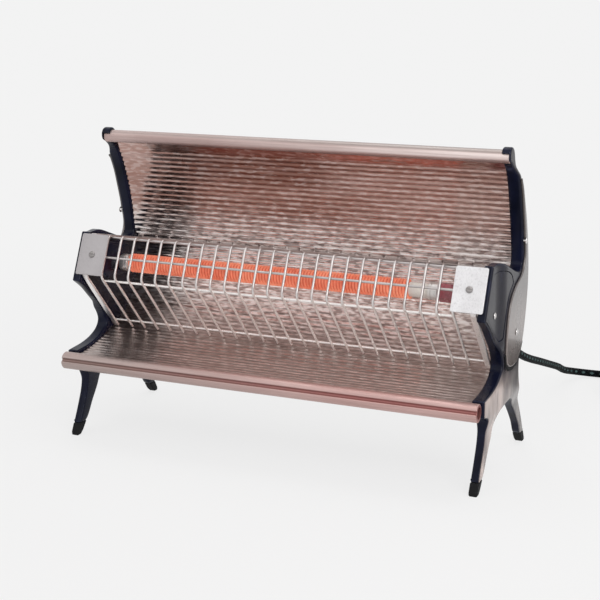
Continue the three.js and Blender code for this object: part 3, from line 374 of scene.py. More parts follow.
# ---- material tools
class Nodes:
    """A node tree whose helper calls add a node and return one of its outputs."""

    def __init__(self, tree):
        self.tree = tree

    def feed(self, socket, value):
        if isinstance(value, bpy.types.NodeSocket):
            self.tree.links.new(value, socket)
        elif isinstance(value, tuple) and len(value) == 3 and socket.type == "RGBA":
            socket.default_value = (*value, 1)
        else:
            socket.default_value = value

    def node(self, kind, settings=None, out=0, **inputs):
        """An input is given by its name, or by i and its number."""
        made = self.tree.nodes.new("ShaderNode" + kind)
        for key, value in (settings or {}).items():
            setattr(made, key, value)
        for key, value in inputs.items():
            self.feed(made.inputs[int(key[1:]) if key[1:].isdigit() else key], value)
        return made.outputs[out]

    def where(self, scale=(1, 1, 1)):
        return self.node("Mapping", Vector=self.node("TexCoord", out=3), Scale=scale)

    def axis(self, which, place=None):
        """One of the three parts of a place, or of the object's own one in metres."""
        return self.node("SeparateXYZ", out=which, Vector=place or self.node("TexCoord", out=3))

    def noise(self, scale, detail=3.0, stretch=(1, 1, 1)):
        return self.node("TexNoise", Vector=self.where(stretch), Scale=scale, Detail=detail)

    def math(self, operation, a, b=0.0):
        return self.node("Math", {"operation": operation}, i0=a, i1=b)

    def times(self, a, b):
        return self.math("MULTIPLY", a, b)

    def plus(self, a, b):
        return self.math("ADD", a, b)

    def size(self, a):
        return self.math("ABSOLUTE", a)

    def span(self, value, low, high, to_low=0.0, to_high=1.0):
        return self.node("MapRange", i0=value, i1=low, i2=high, i3=to_low, i4=to_high)

    def mix(self, factor, a, b):
        return self.node("Mix", {"data_type": "RGBA"}, out=2, i0=factor, i6=a, i7=b)

    def tones(self, value, dark, light):
        """From the dark tone to the light one over a noise's usual range."""
        return self.mix(self.span(value, 0.35, 0.7), dark, light)

    def over(self, colour, tint, value, low, high, share=1.0):
        """The tint laid over a colour as the value goes from low to high, up to the share."""
        return self.mix(self.span(value, low, high, 0.0, share), colour, tint)

    def bump(self, height, strength, distance, below=None):
        under = {"Normal": below} if below else {}
        return self.node("Bump", Strength=strength, Distance=distance, Height=height, **under)

    def rough(self, value, low, high):
        """A roughness over a noise's usual range."""
        return self.span(value, 0.3, 0.7, low, high)

    def worn(self, low=0.5):
        """1 along sharp outward edges and 0 elsewhere."""
        return self.span(self.node("NewGeometry", out=7), low, 0.6)


LOOKS = {}


class Look(Nodes):
    """A surface material, kept in LOOKS by its name."""

    def __init__(self, name, **sockets):
        self.material = LOOKS[name] = bpy.data.materials.new(name)
        self.material.use_nodes = True
        super().__init__(self.material.node_tree)
        self.set(**sockets)

    def set(self, **sockets):
        for key, value in sockets.items():
            self.feed(self.tree.nodes["Principled BSDF"].inputs[key.replace("_", " ")], value)

    def paint(self, colour, rough, *bump):
        """The bump's height, strength and distance come last."""
        self.set(Base_Color=colour, Roughness=rough, Normal=self.bump(*bump))


def enamel():
    """Glossy navy-black enamel, with a streaky painted taupe reflection on the outer faces of the legs.
    """
    look = Look("enamel", Coat_Weight=0.05, Coat_Roughness=0.08, Specular_IOR_Level=0.1)
    broad = look.noise(38.0, 4.0)
    colour = look.tones(broad, (0.004, 0.005, 0.012), (0.009, 0.011, 0.03))
    facing = look.axis(0, look.node("NewGeometry", out=1))
    # painted reflection: taupe on the outer faces of the legs, lighter toward the front, where the gloss
    # would mirror the room
    outward = look.span(look.times(facing, look.axis(0)), 0.13, 0.18)
    outer = look.times(outward, look.span(look.size(look.axis(0)), 0.188, 0.1895))
    reflection_streaks = look.span(look.noise(70.0, 4.0, (1, 1, 0.35)), 0.38, 0.62, 0.45, 1.0)
    leg_reflection = look.over((0.56, 0.465, 0.43), (0.24, 0.222, 0.215), look.axis(1), -0.01, 0.02)
    tone = look.over((0.018, 0.016, 0.022), leg_reflection, look.axis(2), 0.092, 0.078)
    colour = look.mix(look.times(outer, reflection_streaks), colour, tone)
    # lighter blue-grey along sharp edges: wear, and a painted highlight
    edge = look.times(look.worn(0.52), look.span(look.noise(260.0), 0.4, 0.65))
    colour = look.mix(look.times(edge, 0.5), colour, (0.06, 0.07, 0.12))
    dimples = look.plus(look.times(look.noise(900.0, 2.0), 0.3), broad)
    look.paint(colour, look.span(broad, 0.3, 0.75, 0.14, 0.26), dimples, 0.12, 0.0012)


def cover_enamel():
    """Taupe metallic enamel with fine flakes, darker above."""
    look = Look("cover_enamel", Coat_Weight=0.5, Coat_Roughness=0.1, Metallic=0.35)
    broad = look.noise(30.0, 4.0, (1, 1, 0.5))
    flake = look.node("TexVoronoi", Vector=look.where(), Scale=1600.0)
    colour = look.tones(broad, (0.18, 0.15, 0.14), (0.25, 0.21, 0.198))
    colour = look.over(colour, (0.085, 0.075, 0.072), look.axis(2), 0.125, 0.15, 0.75)
    colour = look.mix(look.span(flake, 0.0, 0.35, 0.22, 0.0), colour, (0.42, 0.38, 0.36))
    look.paint(colour, look.span(broad, 0.3, 0.75, 0.22, 0.36), look.noise(700.0, 2.0), 0.06, 0.0006)


def copper():
    """Rolled copper-coloured sheet: a brown heat stain at its top, and painted reflections: paler behind
    the rod, greyer below, darker at the left along its bottom edge, with light and dark dash marks.
    """
    look = Look("reflector_copper", Metallic=1.0)
    height = look.axis(2)
    broad = look.noise(9.0, 5.0, (0.6, 1, 1.4))
    streak = look.noise(60.0, 3.0, (0.25, 1, 4.0))
    colour = look.mix(look.span(broad, 0.38, 0.62), (0.35, 0.195, 0.16), (0.50, 0.33, 0.29))
    uneven = look.plus(height, look.rough(broad, -0.006, 0.006))
    left_part = look.span(look.size(look.plus(look.axis(0), 0.05)), 0.11, 0.05)
    stain = look.times(look.span(uneven, 0.216, 0.229), left_part)
    colour = look.mix(look.times(stain, 0.85), colour, (0.21, 0.09, 0.065))
    # painted reflection: a pale band across the middle, behind the rod
    middle = look.times(look.span(height, 0.135, 0.155), look.span(height, 0.2, 0.17))
    colour = look.mix(look.times(middle, 0.85), colour, (0.80, 0.755, 0.735))
    # painted reflection: greyer below, and along the bottom edge darker at the left and paler to the
    # right
    colour = look.over(colour, (0.60, 0.52, 0.49), height, 0.145, 0.12, 0.85)
    lip_reflection = look.over((0.36, 0.295, 0.275), (0.50, 0.45, 0.43), look.axis(0), -0.15, 0.03)
    colour = look.over(colour, lip_reflection, height, 0.10, 0.085, 0.8)
    colour = look.over(colour, (0.72, 0.60, 0.57), streak, 0.45, 0.75, 0.3)
    # painted reflection: light and dark dash marks, strongest between the bottom edge and the pale band
    reflection_dashes = look.noise(430.0, 1.0, (0.3, 1, 1))
    reflection_reach = look.span(height, 0.21, 0.17, 0.3, 1.0)
    reflection_reach = look.times(reflection_reach, look.span(height, 0.084, 0.105, 0.35, 1.0))
    for tint, low, high in (((0.88, 0.83, 0.81), 0.53, 0.6), ((0.17, 0.12, 0.11), 0.47, 0.4)):
        colour = look.mix(look.times(look.span(reflection_dashes, low, high, 0.0, 0.6), reflection_reach), colour, tint)
    dull = look.plus(look.span(height, 0.15, 0.12, 0.0, 0.14), look.span(stain, 0.0, 1.0, 0.0, 0.12))
    rough = look.plus(look.span(streak, 0.3, 0.75, 0.14, 0.22), dull)
    place = look.where((0.38, 0.6, 1.1))
    dimples = look.node("TexVoronoi", {"feature": "SMOOTH_F1"}, Vector=place, Scale=260.0)
    ripples = look.noise(130.0, 2.0, (0.5, 1, 1.2))
    look.paint(colour, rough, look.plus(dimples, ripples), 0.16, 0.0016)


def rose():
    """Drawn rose-coloured rails: the top one with a painted pale highlight band and a painted darker top,
    the bottom one with painted shade down in its groove.
    """
    look = Look("rail_rose", Metallic=0.85)
    x, y, z = (look.axis(k) for k in range(3))
    drawn = look.noise(900.0, 2.0, (0.02, 1, 1))
    colour = look.tones(look.noise(22.0, 4.0, (0.5, 1, 1)), (0.46, 0.335, 0.315), (0.58, 0.455, 0.43))
    low_tone = look.over((0.37, 0.31, 0.29), (0.60, 0.38, 0.355), x, -0.16, 0.08)
    colour = look.over(colour, low_tone, z, 0.1, 0.085, 0.7)
    above = look.plus(z, -TOP_RAIL["z"] * MM)
    # painted highlight: a pale band round the top rail's middle height, brighter to the right
    pale_band_highlight = look.span(look.size(look.plus(above, -0.3 * MM)), 3.2 * MM, 1.5 * MM)
    pale_band_highlight = look.times(pale_band_highlight, look.span(x, -0.05, 0.16, 0.0, 0.85))
    colour = look.mix(pale_band_highlight, colour, (0.92, 0.80, 0.77))
    # painted reflection: the top of the top rail darker grey, more so to the right
    dark_top_reflection = look.times(look.span(above, 2.2 * MM, 3.8 * MM), look.span(x, -0.18, 0.1, 0.3, 0.9))
    colour = look.mix(dark_top_reflection, colour, (0.33, 0.30, 0.285))
    colour = look.over(colour, (0.36, 0.25, 0.23), drawn, 0.4, 0.7, 0.35)
    # painted shade: darker down in the bottom rail's groove, browner at the left and redder to the right
    across = [look.plus(a, -c) for a, c in zip((y, z), at(0, LOW_RAIL["y"], LOW_RAIL["z"]).yz)]
    out = look.math("SQRT", look.plus(*[look.times(a, a) for a in across]))
    groove_shade = look.span(out, (LOW_RAIL["r"] - 0.25) * MM, (LOW_RAIL["r"] - 0.9) * MM)
    deep = look.over((0.26, 0.17, 0.15), (0.32, 0.12, 0.11), x, -0.16, 0.08)
    colour = look.mix(look.times(groove_shade, 0.9), colour, deep)
    look.paint(colour, look.rough(drawn, 0.38, 0.52), drawn, 0.12, 0.0003)


def chrome(name, tone, rough, low_tone=None):
    """Plated metal; low_tone is a painted reflection: a lighter colour on the guard's lower runs."""
    look = Look(name, Metallic=1.0)
    broad = look.noise(70.0, 4.0)
    colour = look.mix(look.span(broad, 0.35, 0.65), tuple(c * 0.78 for c in tone), tone)
    if low_tone:
        # painted reflection: the guard's lower runs lighter
        colour = look.over(colour, low_tone, look.axis(2), 0.152, 0.142)
    colour = look.over(colour, tuple(c * 0.5 for c in tone), look.noise(800.0, 2.0), 0.62, 0.7, 0.5)
    look.paint(colour, look.rough(broad, *rough), look.noise(500.0, 2.0), 0.05, 0.0004)


def plate_white():
    """Pale brushed plates with small specks; painted shade makes the left one darker."""
    look = Look("plate_white", Metallic=0.35, Coat_Weight=0.3, Coat_Roughness=0.15)
    grain = look.noise(1200.0, 2.0, (1, 1, 0.05))
    colour = look.tones(look.noise(60.0, 3.0), (0.70, 0.69, 0.70), (0.80, 0.79, 0.80))
    colour = look.over(colour, (0.50, 0.49, 0.49), grain, 0.45, 0.7, 0.25)
    colour = look.over(colour, (0.42, 0.40, 0.41), look.noise(520.0, 2.0), 0.56, 0.66, 0.3)
    # painted shade: the left plate darker
    colour = look.over(colour, (0.30, 0.275, 0.28), look.axis(0), 0.0, -0.1, 0.8)
    look.paint(colour, look.rough(grain, 0.3, 0.44), grain, 0.1, 0.0003)


def back_paint():
    """Dull black paint, rubbed grey at its edges."""
    look = Look("back_paint")
    grain = look.noise(1500.0, 3.0)
    colour = look.tones(look.noise(25.0, 4.0), (0.022, 0.023, 0.028), (0.04, 0.041, 0.048))
    colour = look.mix(look.times(look.worn(), 0.4), colour, (0.14, 0.14, 0.15))
    # Dull black paint, worn grey at its edges.
    look.paint(colour, look.rough(grain, 0.42, 0.6), grain, 0.35, 0.0004)


def ceramic(tone=(0.80, 0.74, 0.68)):
    """Off-white ceramic with brown dust."""
    look = Look("ceramic", Subsurface_Weight=0.0)
    broad = look.noise(80.0, 4.0)
    dust = look.noise(700.0, 3.0)
    colour = look.tones(broad, tuple(c * 0.8 for c in tone), tone)
    colour = look.over(colour, tuple(c * 0.55 for c in tone), dust, 0.55, 0.75, 0.3)
    look.paint(colour, look.rough(broad, 0.5, 0.7), dust, 0.2, 0.0003)


def glowing(name, low, high, strength):
    """A hot surface, brighter in patches."""
    look = Look(name, Roughness=0.7)
    colour = look.tones(look.noise(70.0, 3.0, (0.5, 1, 1)), low, high)
    flicker = look.span(look.noise(260.0, 2.0), 0.3, 0.7, strength * 0.8, strength * 1.2)
    bump = look.bump(look.noise(500.0), 0.1, 0.0003)
    look.set(Base_Color=(0.25, 0.09, 0.05), Emission_Color=colour, Emission_Strength=flicker, Normal=bump)


def braid():
    """Crossing yarns flecked by a paler tracer."""
    look = Look("braid", Sheen_Weight=0.015, Sheen_Roughness=0.4, Specular_IOR_Level=0.06)
    along, around = (look.axis(k, look.node("UVMap", {"uv_map": "UVMap"})) for k in (0, 1))

    def wave(pitch, strands, way=1):
        turned = look.times(around, 2 * math.pi * strands * way)
        return look.math("SINE", look.plus(look.times(along, 2 * math.pi / pitch), turned))

    height = look.math("MAXIMUM", wave(0.006, 4), wave(0.006, 4, -1))
    yarn = look.noise(3000.0, 2.0)
    colour = look.mix(look.span(yarn, 0.4, 0.7), (0.0025, 0.0025, 0.0035), (0.006, 0.009, 0.010))
    crossing = look.times(wave(0.021, 2), wave(0.021, 2, -1))
    colour = look.over(colour, (0.11, 0.18, 0.175), crossing, 0.4, 0.9, 0.75)
    strands = look.bump(height, 0.8, 0.0006)
    look.paint(colour, look.span(height, -0.5, 1.0, 0.9, 0.65), yarn, 0.3, 0.0002, strands)


def lead_cloth():
    """Pale woven sleeve of the inner leads."""
    look = Look("lead_cloth", Sheen_Weight=0.3)
    weave = look.noise(2400.0, 2.0)
    colour = look.mix(look.span(weave, 0.35, 0.65), (0.05, 0.045, 0.04), (0.16, 0.15, 0.13))
    look.paint(colour, look.rough(weave, 0.7, 0.9), weave, 0.5, 0.0003)


def plain(name, dark, light, broad, rough, fine, bump, edge=None, **sockets):
    """A mottled material; edge is its colour where it is worn."""
    look = Look(name, **sockets)
    mottle = look.noise(*broad)
    colour = look.tones(mottle, dark, light)
    if edge:
        colour = look.mix(look.times(look.worn(0.52), 0.35), colour, edge)
    look.paint(colour, look.rough(mottle, *rough), look.noise(*fine), *bump)


for make in (enamel, cover_enamel, copper, rose, plate_white, back_paint, ceramic, braid, lead_cloth):
    make()
chrome("guard_chrome", (0.60, 0.56, 0.55), (0.36, 0.5), (0.95, 0.92, 0.90))
chrome("steel", (0.50, 0.48, 0.47), (0.25, 0.42))
chrome("cap_nickel", (0.80, 0.77, 0.75), (0.35, 0.5))
chrome("screw_dark", (0.33, 0.31, 0.305), (0.3, 0.45))
chrome("screw_chrome", (0.74, 0.72, 0.71), (0.15, 0.3))
glowing("resistance_wire", (0.68, 0.14, 0.08), (0.86, 0.28, 0.17), 0.72)
glowing("hot_rod", (0.52, 0.08, 0.045), (0.68, 0.14, 0.08), 0.66)
plain("holder_maroon", (0.22, 0.022, 0.035), (0.42, 0.06, 0.085), (120.0, 4.0), (0.18, 0.35),
      (600.0,), (0.12, 0.0003), Coat_Weight=0.8, Coat_Roughness=0.08)
plain("brass", (0.44, 0.30, 0.10), (0.72, 0.54, 0.22), (160.0, 4.0), (0.2, 0.4),
      (1500.0, 2.0, (1, 1, 0.1)), (0.15, 0.0002), Metallic=1.0)
plain("rubber", (0.004, 0.004, 0.005), (0.012, 0.012, 0.013), (90.0, 3.0), (0.55, 0.75),
      (1800.0, 3.0), (0.3, 0.0002), Specular_IOR_Level=0.15)
plain("plug_plastic", (0.010, 0.010, 0.012), (0.018, 0.018, 0.021), (60.0, 3.0), (0.25, 0.4),
      (2200.0, 3.0), (0.12, 0.0002), edge=(0.06, 0.06, 0.065))


def finish(obj, slot, *nodes, look=None):
    """Paints a piece, makes it ride with the heater and hides the nodes it stands for."""
    obj.data.materials.clear()
    obj.data.materials.append(LOOKS[look or slot])
    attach(obj, "root")
    if nodes:
        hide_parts(*nodes)
    return obj


def finish_pair(obj, slot, node):
    """A right-hand piece and its mirrored twin."""
    finish(obj, slot, node + "_right")
    finish(mirrored(obj, obj.name.replace("right", "left")), slot, node + "_left")


def repaint(look, *nodes):
    """Gives carried-over nodes their material."""
    for node in nodes:
        mesh = NODES[node].data
        mesh.materials.clear()
        mesh.materials.append(LOOKS[look])


# ---- cord
make_camera()

BOOT = {"x": 190.2, "y": 27, "z": 97.5, "tilt": 0.42, "long": 24, "inside": 4, "r": 4.05}
CORD_ROUTE = [(190, 70, 78.6), (190, 96, 68.8), (190, 126, 58.4), (188.4, 170, 43.2), (186.4, 222, 25),
              (187.4, 247, 14.6), (193, 267, 8), (204, 277, 4.8), (220, 279.5, 4.2), (240, 279.5, 4.6)]
COIL = {"x": 274, "y": 238, "r": 36, "pitch": 7.7, "rise": 7.6, "layers": 4, "turns": 1.5625, "z": 5.2}
CORD_D = 7
CORD_STEP = 2.5
LEAD_IN = 9
PLUG_ENTRY = (297, 182.8, 10.4)


def boot_point(far):
    return (BOOT["x"], BOOT["y"] + math.cos(BOOT["tilt"]) * far, BOOT["z"] - math.sin(BOOT["tilt"]) * far)


def ease(t):
    """0 to 1, slow at both ends, and level beyond them."""
    t = min(max(t, 0), 1)
    return t * t * (3 - 2 * t)


def coil_centres(per_turn):
    """Layers of a flat spiral, in and out by turns, climbing where the spiral turns back."""
    made = []
    layers, turns = COIL["layers"], COIL["turns"]
    for i in range(int(layers * turns * per_turn) + 1):
        turn = i / per_turn
        layer = min(int(turn // turns), layers - 1)
        within = turn - layer * turns
        r = COIL["r"] + (-1 if layer % 2 else 1) * (turns / 2 - within) * COIL["pitch"]
        height = layer
        if layer < layers - 1 and within > turns - 0.25:
            height += ease((within - (turns - 0.25)) * 2)
        if layer > 0 and within < 0.25:
            height += ease(0.5 + within * 2) - 1
        a = math.pi / 2 - turn * 2 * math.pi
        z = COIL["z"] + height * COIL["rise"]
        made.append((COIL["x"] + r * math.cos(a), COIL["y"] + r * math.sin(a), z))
    return made


def beyond(first, second, far):
    """A point straight on from the first, away from the second, at the first one's height."""
    a, b = Vector(first), Vector(second)
    way = a - b
    way.z = 0
    return tuple(a + way.normalized() * far)


def make_cord():
    ring = coil_centres(24)
    ring = [beyond(ring[0], ring[1], CORD_D), *ring, beyond(ring[-1], ring[-2], CORD_D)]
    first, last = ring[:2], ring[:-3:-1]
    mouth = BOOT["long"] - BOOT["inside"]
    route = [boot_point(mouth + GAP), boot_point(mouth + LEAD_IN), *CORD_ROUTE,
             beyond(*first, LEAD_IN), beyond(*first, GAP)]
    x, y, z = PLUG_ENTRY
    tail = [beyond(*last, GAP), beyond(*last, LEAD_IN), (x + 8, y + 19, z + 5), (x, y + 7, z), PLUG_ENTRY]
    line = [at(*p) for p in np.vstack([smooth_path(part, CORD_STEP) for part in (route, ring, tail)])]
    obj = tube("braided_cord", line, CORD_D / 2 * MM, 16)
    finish(obj, "braid", "cord", "cord_coil", "cord_end")
    return obj, line


def make_boot():
    """A tapered sleeve with shallow rings."""
    full, long = BOOT["r"], BOOT["long"]
    profile = [(0, 3.2), (0.1, 3.7), (0.6, full), (4.2, full)]
    for far in (6, 9.4, 12.8, 16.2, 19.6):
        r = full - 0.25 * far / long
        profile += [(far, r), (far + 0.5, r - 0.32), (far + 1.1, r - 0.32), (far + 1.6, r - 0.02)]
    profile += [(long - 0.7, 3.78), (long - 0.1, 3.62), (long, 3.55)]
    way = (0, math.cos(BOOT["tilt"]), -math.sin(BOOT["tilt"]))
    obj = lathe("cord_sleeve", profile, at(*boot_point(-BOOT["inside"])), way)
    return finish(obj, "rubber", "cord_boot")


def make_plug():
    body = finish(softened("plug_body", "plug_shell", 0.9, 3, 40), "plug_plastic", "plug_body")
    pins = []
    for which in ("live", "neutral", "earth"):
        pin = softened("plug_pin_" + which, "pin_" + which, 0.5)
        pins.append(finish(pin, "brass", "plug_pin_" + which))
    band = finish(softened("cord_tie", "coil_tie", 0.35), "rubber", "cord_tie")
    return [body, *pins, band]


cord, cord_line = make_cord()
sleeve = make_boot()
on_cord = make_plug()

# ---- reflector, rails and back
INNER = 184.0
OUTER = 195.5
SHEET_HALF = INNER + 2.2 - GAP
REFLECTOR_CURVE = [(11, 259.5), (20.5, 243.3), (27.6, 225.6), (33, 207.8), (37, 190), (39.6, 170),
                   (40.2, 150), (36, 126), (24.5, 105.5), (6, 93), (-14, 86), (-31, 81), (-48, 77.8),
                   (-66.6, 76)]
FLUTE = {"pitch": 5.0, "deep": 0.5, "from": 8, "to": 262}
BACK_CURVE = [(35.6, 210), (38.6, 210), (42.6, 194), (46.2, 176), (47.8, 156), (46.2, 140), (42.2, 121),
              (36, 104.5), (31.4, 92), (31.4, 78), (26, 67.5), (12, 64), (-22, 65.5), (-62, 70.2)]
SLOTS = {"heights": (188, 176, 129, 117), "count": 6, "pitch": 56, "half": 15, "r": 2, "depths": (34, 58)}


def long_sheet(name, face, back, columns):
    """A sheet along X between two matching profiles in mm."""
    n = len(face)
    verts = []
    for x in np.linspace(-SHEET_HALF, SHEET_HALF, columns + 1):
        verts += [at(x, y, z) for y, z in (*face, *back)]
    faces = []
    ring = list(range(n)) + list(range(2 * n - 1, n - 1, -1))
    for a in range(0, columns * 2 * n, 2 * n):
        b = a + 2 * n
        for k in range(2 * n):
            i, j = ring[k], ring[(k + 1) % (2 * n)]
            faces.append((a + i, a + j, b + j, b + i))
    last = columns * 2 * n
    for i in range(n - 1):
        faces.append((i, i + 1, n + i + 1, n + i))
        faces.append((last + i, last + n + i, last + n + i + 1, last + i + 1))
    return new_object(name, verts, faces)


def make_reflector():
    path = smooth_path(REFLECTOR_CURVE, FLUTE["pitch"] / 10)
    far = lengths(path)
    inside = np.clip((far - FLUTE["from"]) / 2, 0, 1) * np.clip((FLUTE["to"] - far) / 2, 0, 1)
    rise = FLUTE["deep"] * inside * (0.5 - 0.5 * np.cos(2 * np.pi * far / FLUTE["pitch"]))
    face = path - normals_2d(path) * rise[:, None]
    obj = long_sheet("reflector_sheet", face, face + normals_2d(path), 12)
    obj.data.set_sharp_from_angle(angle=math.radians(60))
    finish(obj, "reflector_copper", "reflector")


def long_ring(name, ring, inside, half, edge=0.4, bore=40):
    """A bar along X with a bore at each end: both rings in mm, with turned edges."""
    ring, inside = np.array(ring), np.array(inside)
    middle = ring.mean(axis=0)
    small = middle + (ring - middle) * (1 - edge / np.abs(ring - middle).max())
    rows = [(-half + bore, inside), (-half, inside), (-half, small), (-half + edge, ring)]
    rows += [(-x, points) for x, points in reversed(rows)]
    return shade(solid(name, [[at(x, y, z) for y, z in points] for x, points in rows]), 40)


def make_rails():
    y, z, r = map(TOP_RAIL.get, "yzr")
    top = long_ring("rail_top", circle(y, z, r), circle(y, z, r - 1), INNER + TOP_RAIL["past"])
    finish(top, "rail_rose", "top_rail")
    y, z, r = map(LOW_RAIL.get, "yzr")
    ring = []
    for a in angles(120):
        off = a - math.radians(LOW_RAIL["groove"])
        dent = LOW_RAIL["dent"] * math.exp(-((off / LOW_RAIL["spread"]) ** 4)) if abs(off) < 1 else 0
        ring.append((y + (r - dent) * math.cos(a), z + (r - dent) * math.sin(a)))
    low = long_ring("rail_bottom", ring, circle(y + 0.4, z, 5.0, 120), LOW_RAIL["half"])
    finish(low, "rail_rose", "bottom_rail")


def make_back():
    path = smooth_path(BACK_CURVE, 3.0)
    out = normals_2d(path)
    panel = long_sheet("back_sheet", path - out * 0.5, path + out * 0.5, 8)
    half, r = SLOTS["half"], SLOTS["r"]
    quarter = math.pi / 2
    ends = [(side * half, a) for side, first in ((1, -quarter), (-1, quarter))
            for a in np.linspace(first, first + math.pi, 8)]
    slots = []
    for z in SLOTS["heights"]:
        for i in range(SLOTS["count"]):
            x = (i - (SLOTS["count"] - 1) / 2) * SLOTS["pitch"]
            points = [(x + end + r * math.cos(a), z + r * math.sin(a)) for end, a in ends]
            slots.append(solid("slot", [[at(px, y, pz) for px, pz in points] for y in SLOTS["depths"]]))
    cut(panel, join("slots", slots))
    finish(shade(panel, 40), "back_paint", "back_panel")


make_reflector()
make_rails()
make_back()

# ---- ends
# where each outline is taken and how far its plate goes, in mm along X
WEB_CUT, NOSE_CUT, LID_CUT, COVER_CUT = 186.6, 178.5, 194.4, 195.8
NOSE_X, LID_X, COVER_X = (163.6, 186), (193.6, 195.2), (195.2, 197.2)
CAP_TOP = 10.5
LEG = {"thick": 7.5, "inset": 0.8, "top": 62, "full": 46}
NOSE = {"from": -11, "over": 22, "above": 106, "rise": 12, "share": 0.32}
TIP = {"from": 246, "over": 10, "share": 0.3, "draw": 0.2}
HOOK_LIP = 3.4


def thin_legs(mesh):
    """Narrows the legs below the web, as the castings do."""
    top, full = LEG["top"], LEG["full"]
    web = (INNER + OUTER) / 2 * MM
    middle = (INNER + LEG["inset"] + LEG["thick"] / 2) * MM
    with opened(mesh) as bm:
        for z in range(full - 4, top + 5, 2):
            sliced(bm, (0, 0, z * MM), (0, 0, 1))
        for v in bm.verts:
            share = ease((top * MM - v.co.z) / ((top - full) * MM))
            scale = 1 + share * (LEG["thick"] / (OUTER - INNER) - 1)
            v.co.x = web + share * (middle - web) + (v.co.x - web) * scale


def slimness(y, z):
    """How much of its thickness the casting loses at a point, toward the nose and the tip."""
    nose = ease((NOSE["from"] - y) / NOSE["over"]) * ease((z - NOSE["above"]) / NOSE["rise"])
    return max(NOSE["share"] * nose, TIP["share"] * ease((z - TIP["from"]) / TIP["over"]))


def slim(mesh):
    """Tapers the outer side toward the nose and the tip, and draws the tip in round the rail's end."""
    cuts = [((0, 1, 0), y) for y in range(NOSE["from"] - 24, NOSE["from"] + 2, 3)]
    cuts += [((0, 0, 1), z) for z in (*range(104, 122, 3), *range(TIP["from"], TIP["from"] + 18, 2))]
    middle = at(0, TOP_RAIL["y"], TOP_RAIL["z"])
    with opened(mesh) as bm:
        for way, where in cuts:
            sliced(bm, at(0, where, where), way)
        for v in bm.verts:
            y, z = v.co.y / MM - SHIFT, v.co.z / MM
            if v.co.x > INNER * MM:
                v.co.x = INNER * MM + (v.co.x - INNER * MM) * (1 - slimness(y, z))
            draw_in = 1 - TIP["draw"] * ease((z - TIP["from"] - 4) / 12)
            v.co.yz = [c + (a - c) * draw_in for a, c in zip(v.co.yz, middle.yz)]


def rail_bay():
    """The room for the top rail's end in the tip, open in front."""
    y, z, r = map(TOP_RAIL.get, "yzr")
    r += GAP
    top = math.pi - math.asin(HOOK_LIP / r)
    ring = [(r * math.cos(a), r * math.sin(a)) for a in np.linspace(-math.pi / 2, top, 28)]
    ring += [(-14, HOOK_LIP), (-14, -r)]
    ring = [tuple(at(0, y + a, z + b).yz) for a, b in ring]
    return plate("bay", ring, INNER - 2, INNER + TOP_RAIL["past"] + GAP, 0.02, 1)


def make_ends():
    whole = section("end_casting_right", WEB_CUT)
    outline = flowing(thin_out([p for p in whole if p[1] > (CAP_TOP - 0.1) * MM]))
    body = plate("end_right", outline, INNER, OUTER, 2.2)
    thin_legs(body.data)
    nose = plate("nose", flowing(section("end_casting_right", NOSE_CUT), 30, 0.0015), *NOSE_X, 0.8, 3)
    lid_ring = flowing(section("terminal_cover_right", LID_CUT), 40, 0.0015)
    cut(body, plate("lid_room", grown(lid_ring, 0.45 * MM), LID_X[0] - 0.2, 200, 0.1, 1))
    slim(body.data)
    cut(body, rail_bay())
    finish_pair(shade(join("end_right", [body, nose]), 38), "enamel", "end_casting")
    lid = plate("terminal_lid_right", lid_ring, *LID_X, 0.5, 3)
    slim(lid.data)
    finish_pair(shade(lid), "enamel", "terminal_cover")
    cover = plate("side_lid_right", flowing(section("side_cover_right", COVER_CUT), 70), *COVER_X, 0.9)
    finish_pair(shade(cover), "cover_enamel", "side_cover")


def screw(name, seat, way, size, slot, *nodes, look=None):
    """A domed, slotted head; size is (head radius, head height) in mm."""
    r, h = size
    arc = [(h * math.sin(a), r * math.cos(a) ** 0.6) for a in np.linspace(0.25, 1.35, 7)]
    head = lathe(name, [(-2, r * 0.5), (0, r * 0.5), (0, r * 0.97), *arc], seat, way, 32)
    way = Vector(way).normalized()
    turn = Vector((0, 0, 1)).rotation_difference(way).to_matrix().to_4x4()
    mesh = bpy.data.meshes.new("slot")
    with opened(mesh) as bm:
        bmesh.ops.create_cube(bm, size=1)
    grow = Matrix.Diagonal((r * 2.6 * MM, r * 0.3 * MM, h * 0.9 * MM, 1))
    mesh.transform(Matrix.Translation(Vector(seat) + way * h * 0.98 * MM) @ turn @ grow)
    cut(head, add_object("slot", mesh))
    finish(shade(head), slot, *nodes, look=look)


PLATE_TOP = Vector((-43.6, 182.9))
PLATE_BOTTOM = Vector((-59.7, 148.7))
PLATE_TALL = (PLATE_BOTTOM - PLATE_TOP).length
LEAN = (PLATE_BOTTOM - PLATE_TOP).normalized()
FACING = Vector((LEAN.y, -LEAN.x))
PLATE_X = (161.8, 188.8)
PLATE_THICK = 1.2
SIDES = ((1, "right"), (-1, "left"))
COVER_SCREWS = ((15, 116, "lower"), (36.6, 190, "upper"))
LID_SCREW = (-34, 141.5)
BACK_SCREW = (173, 32, 86)


def on_plane(down, back):
    return PLATE_TOP + LEAN * down - FACING * back


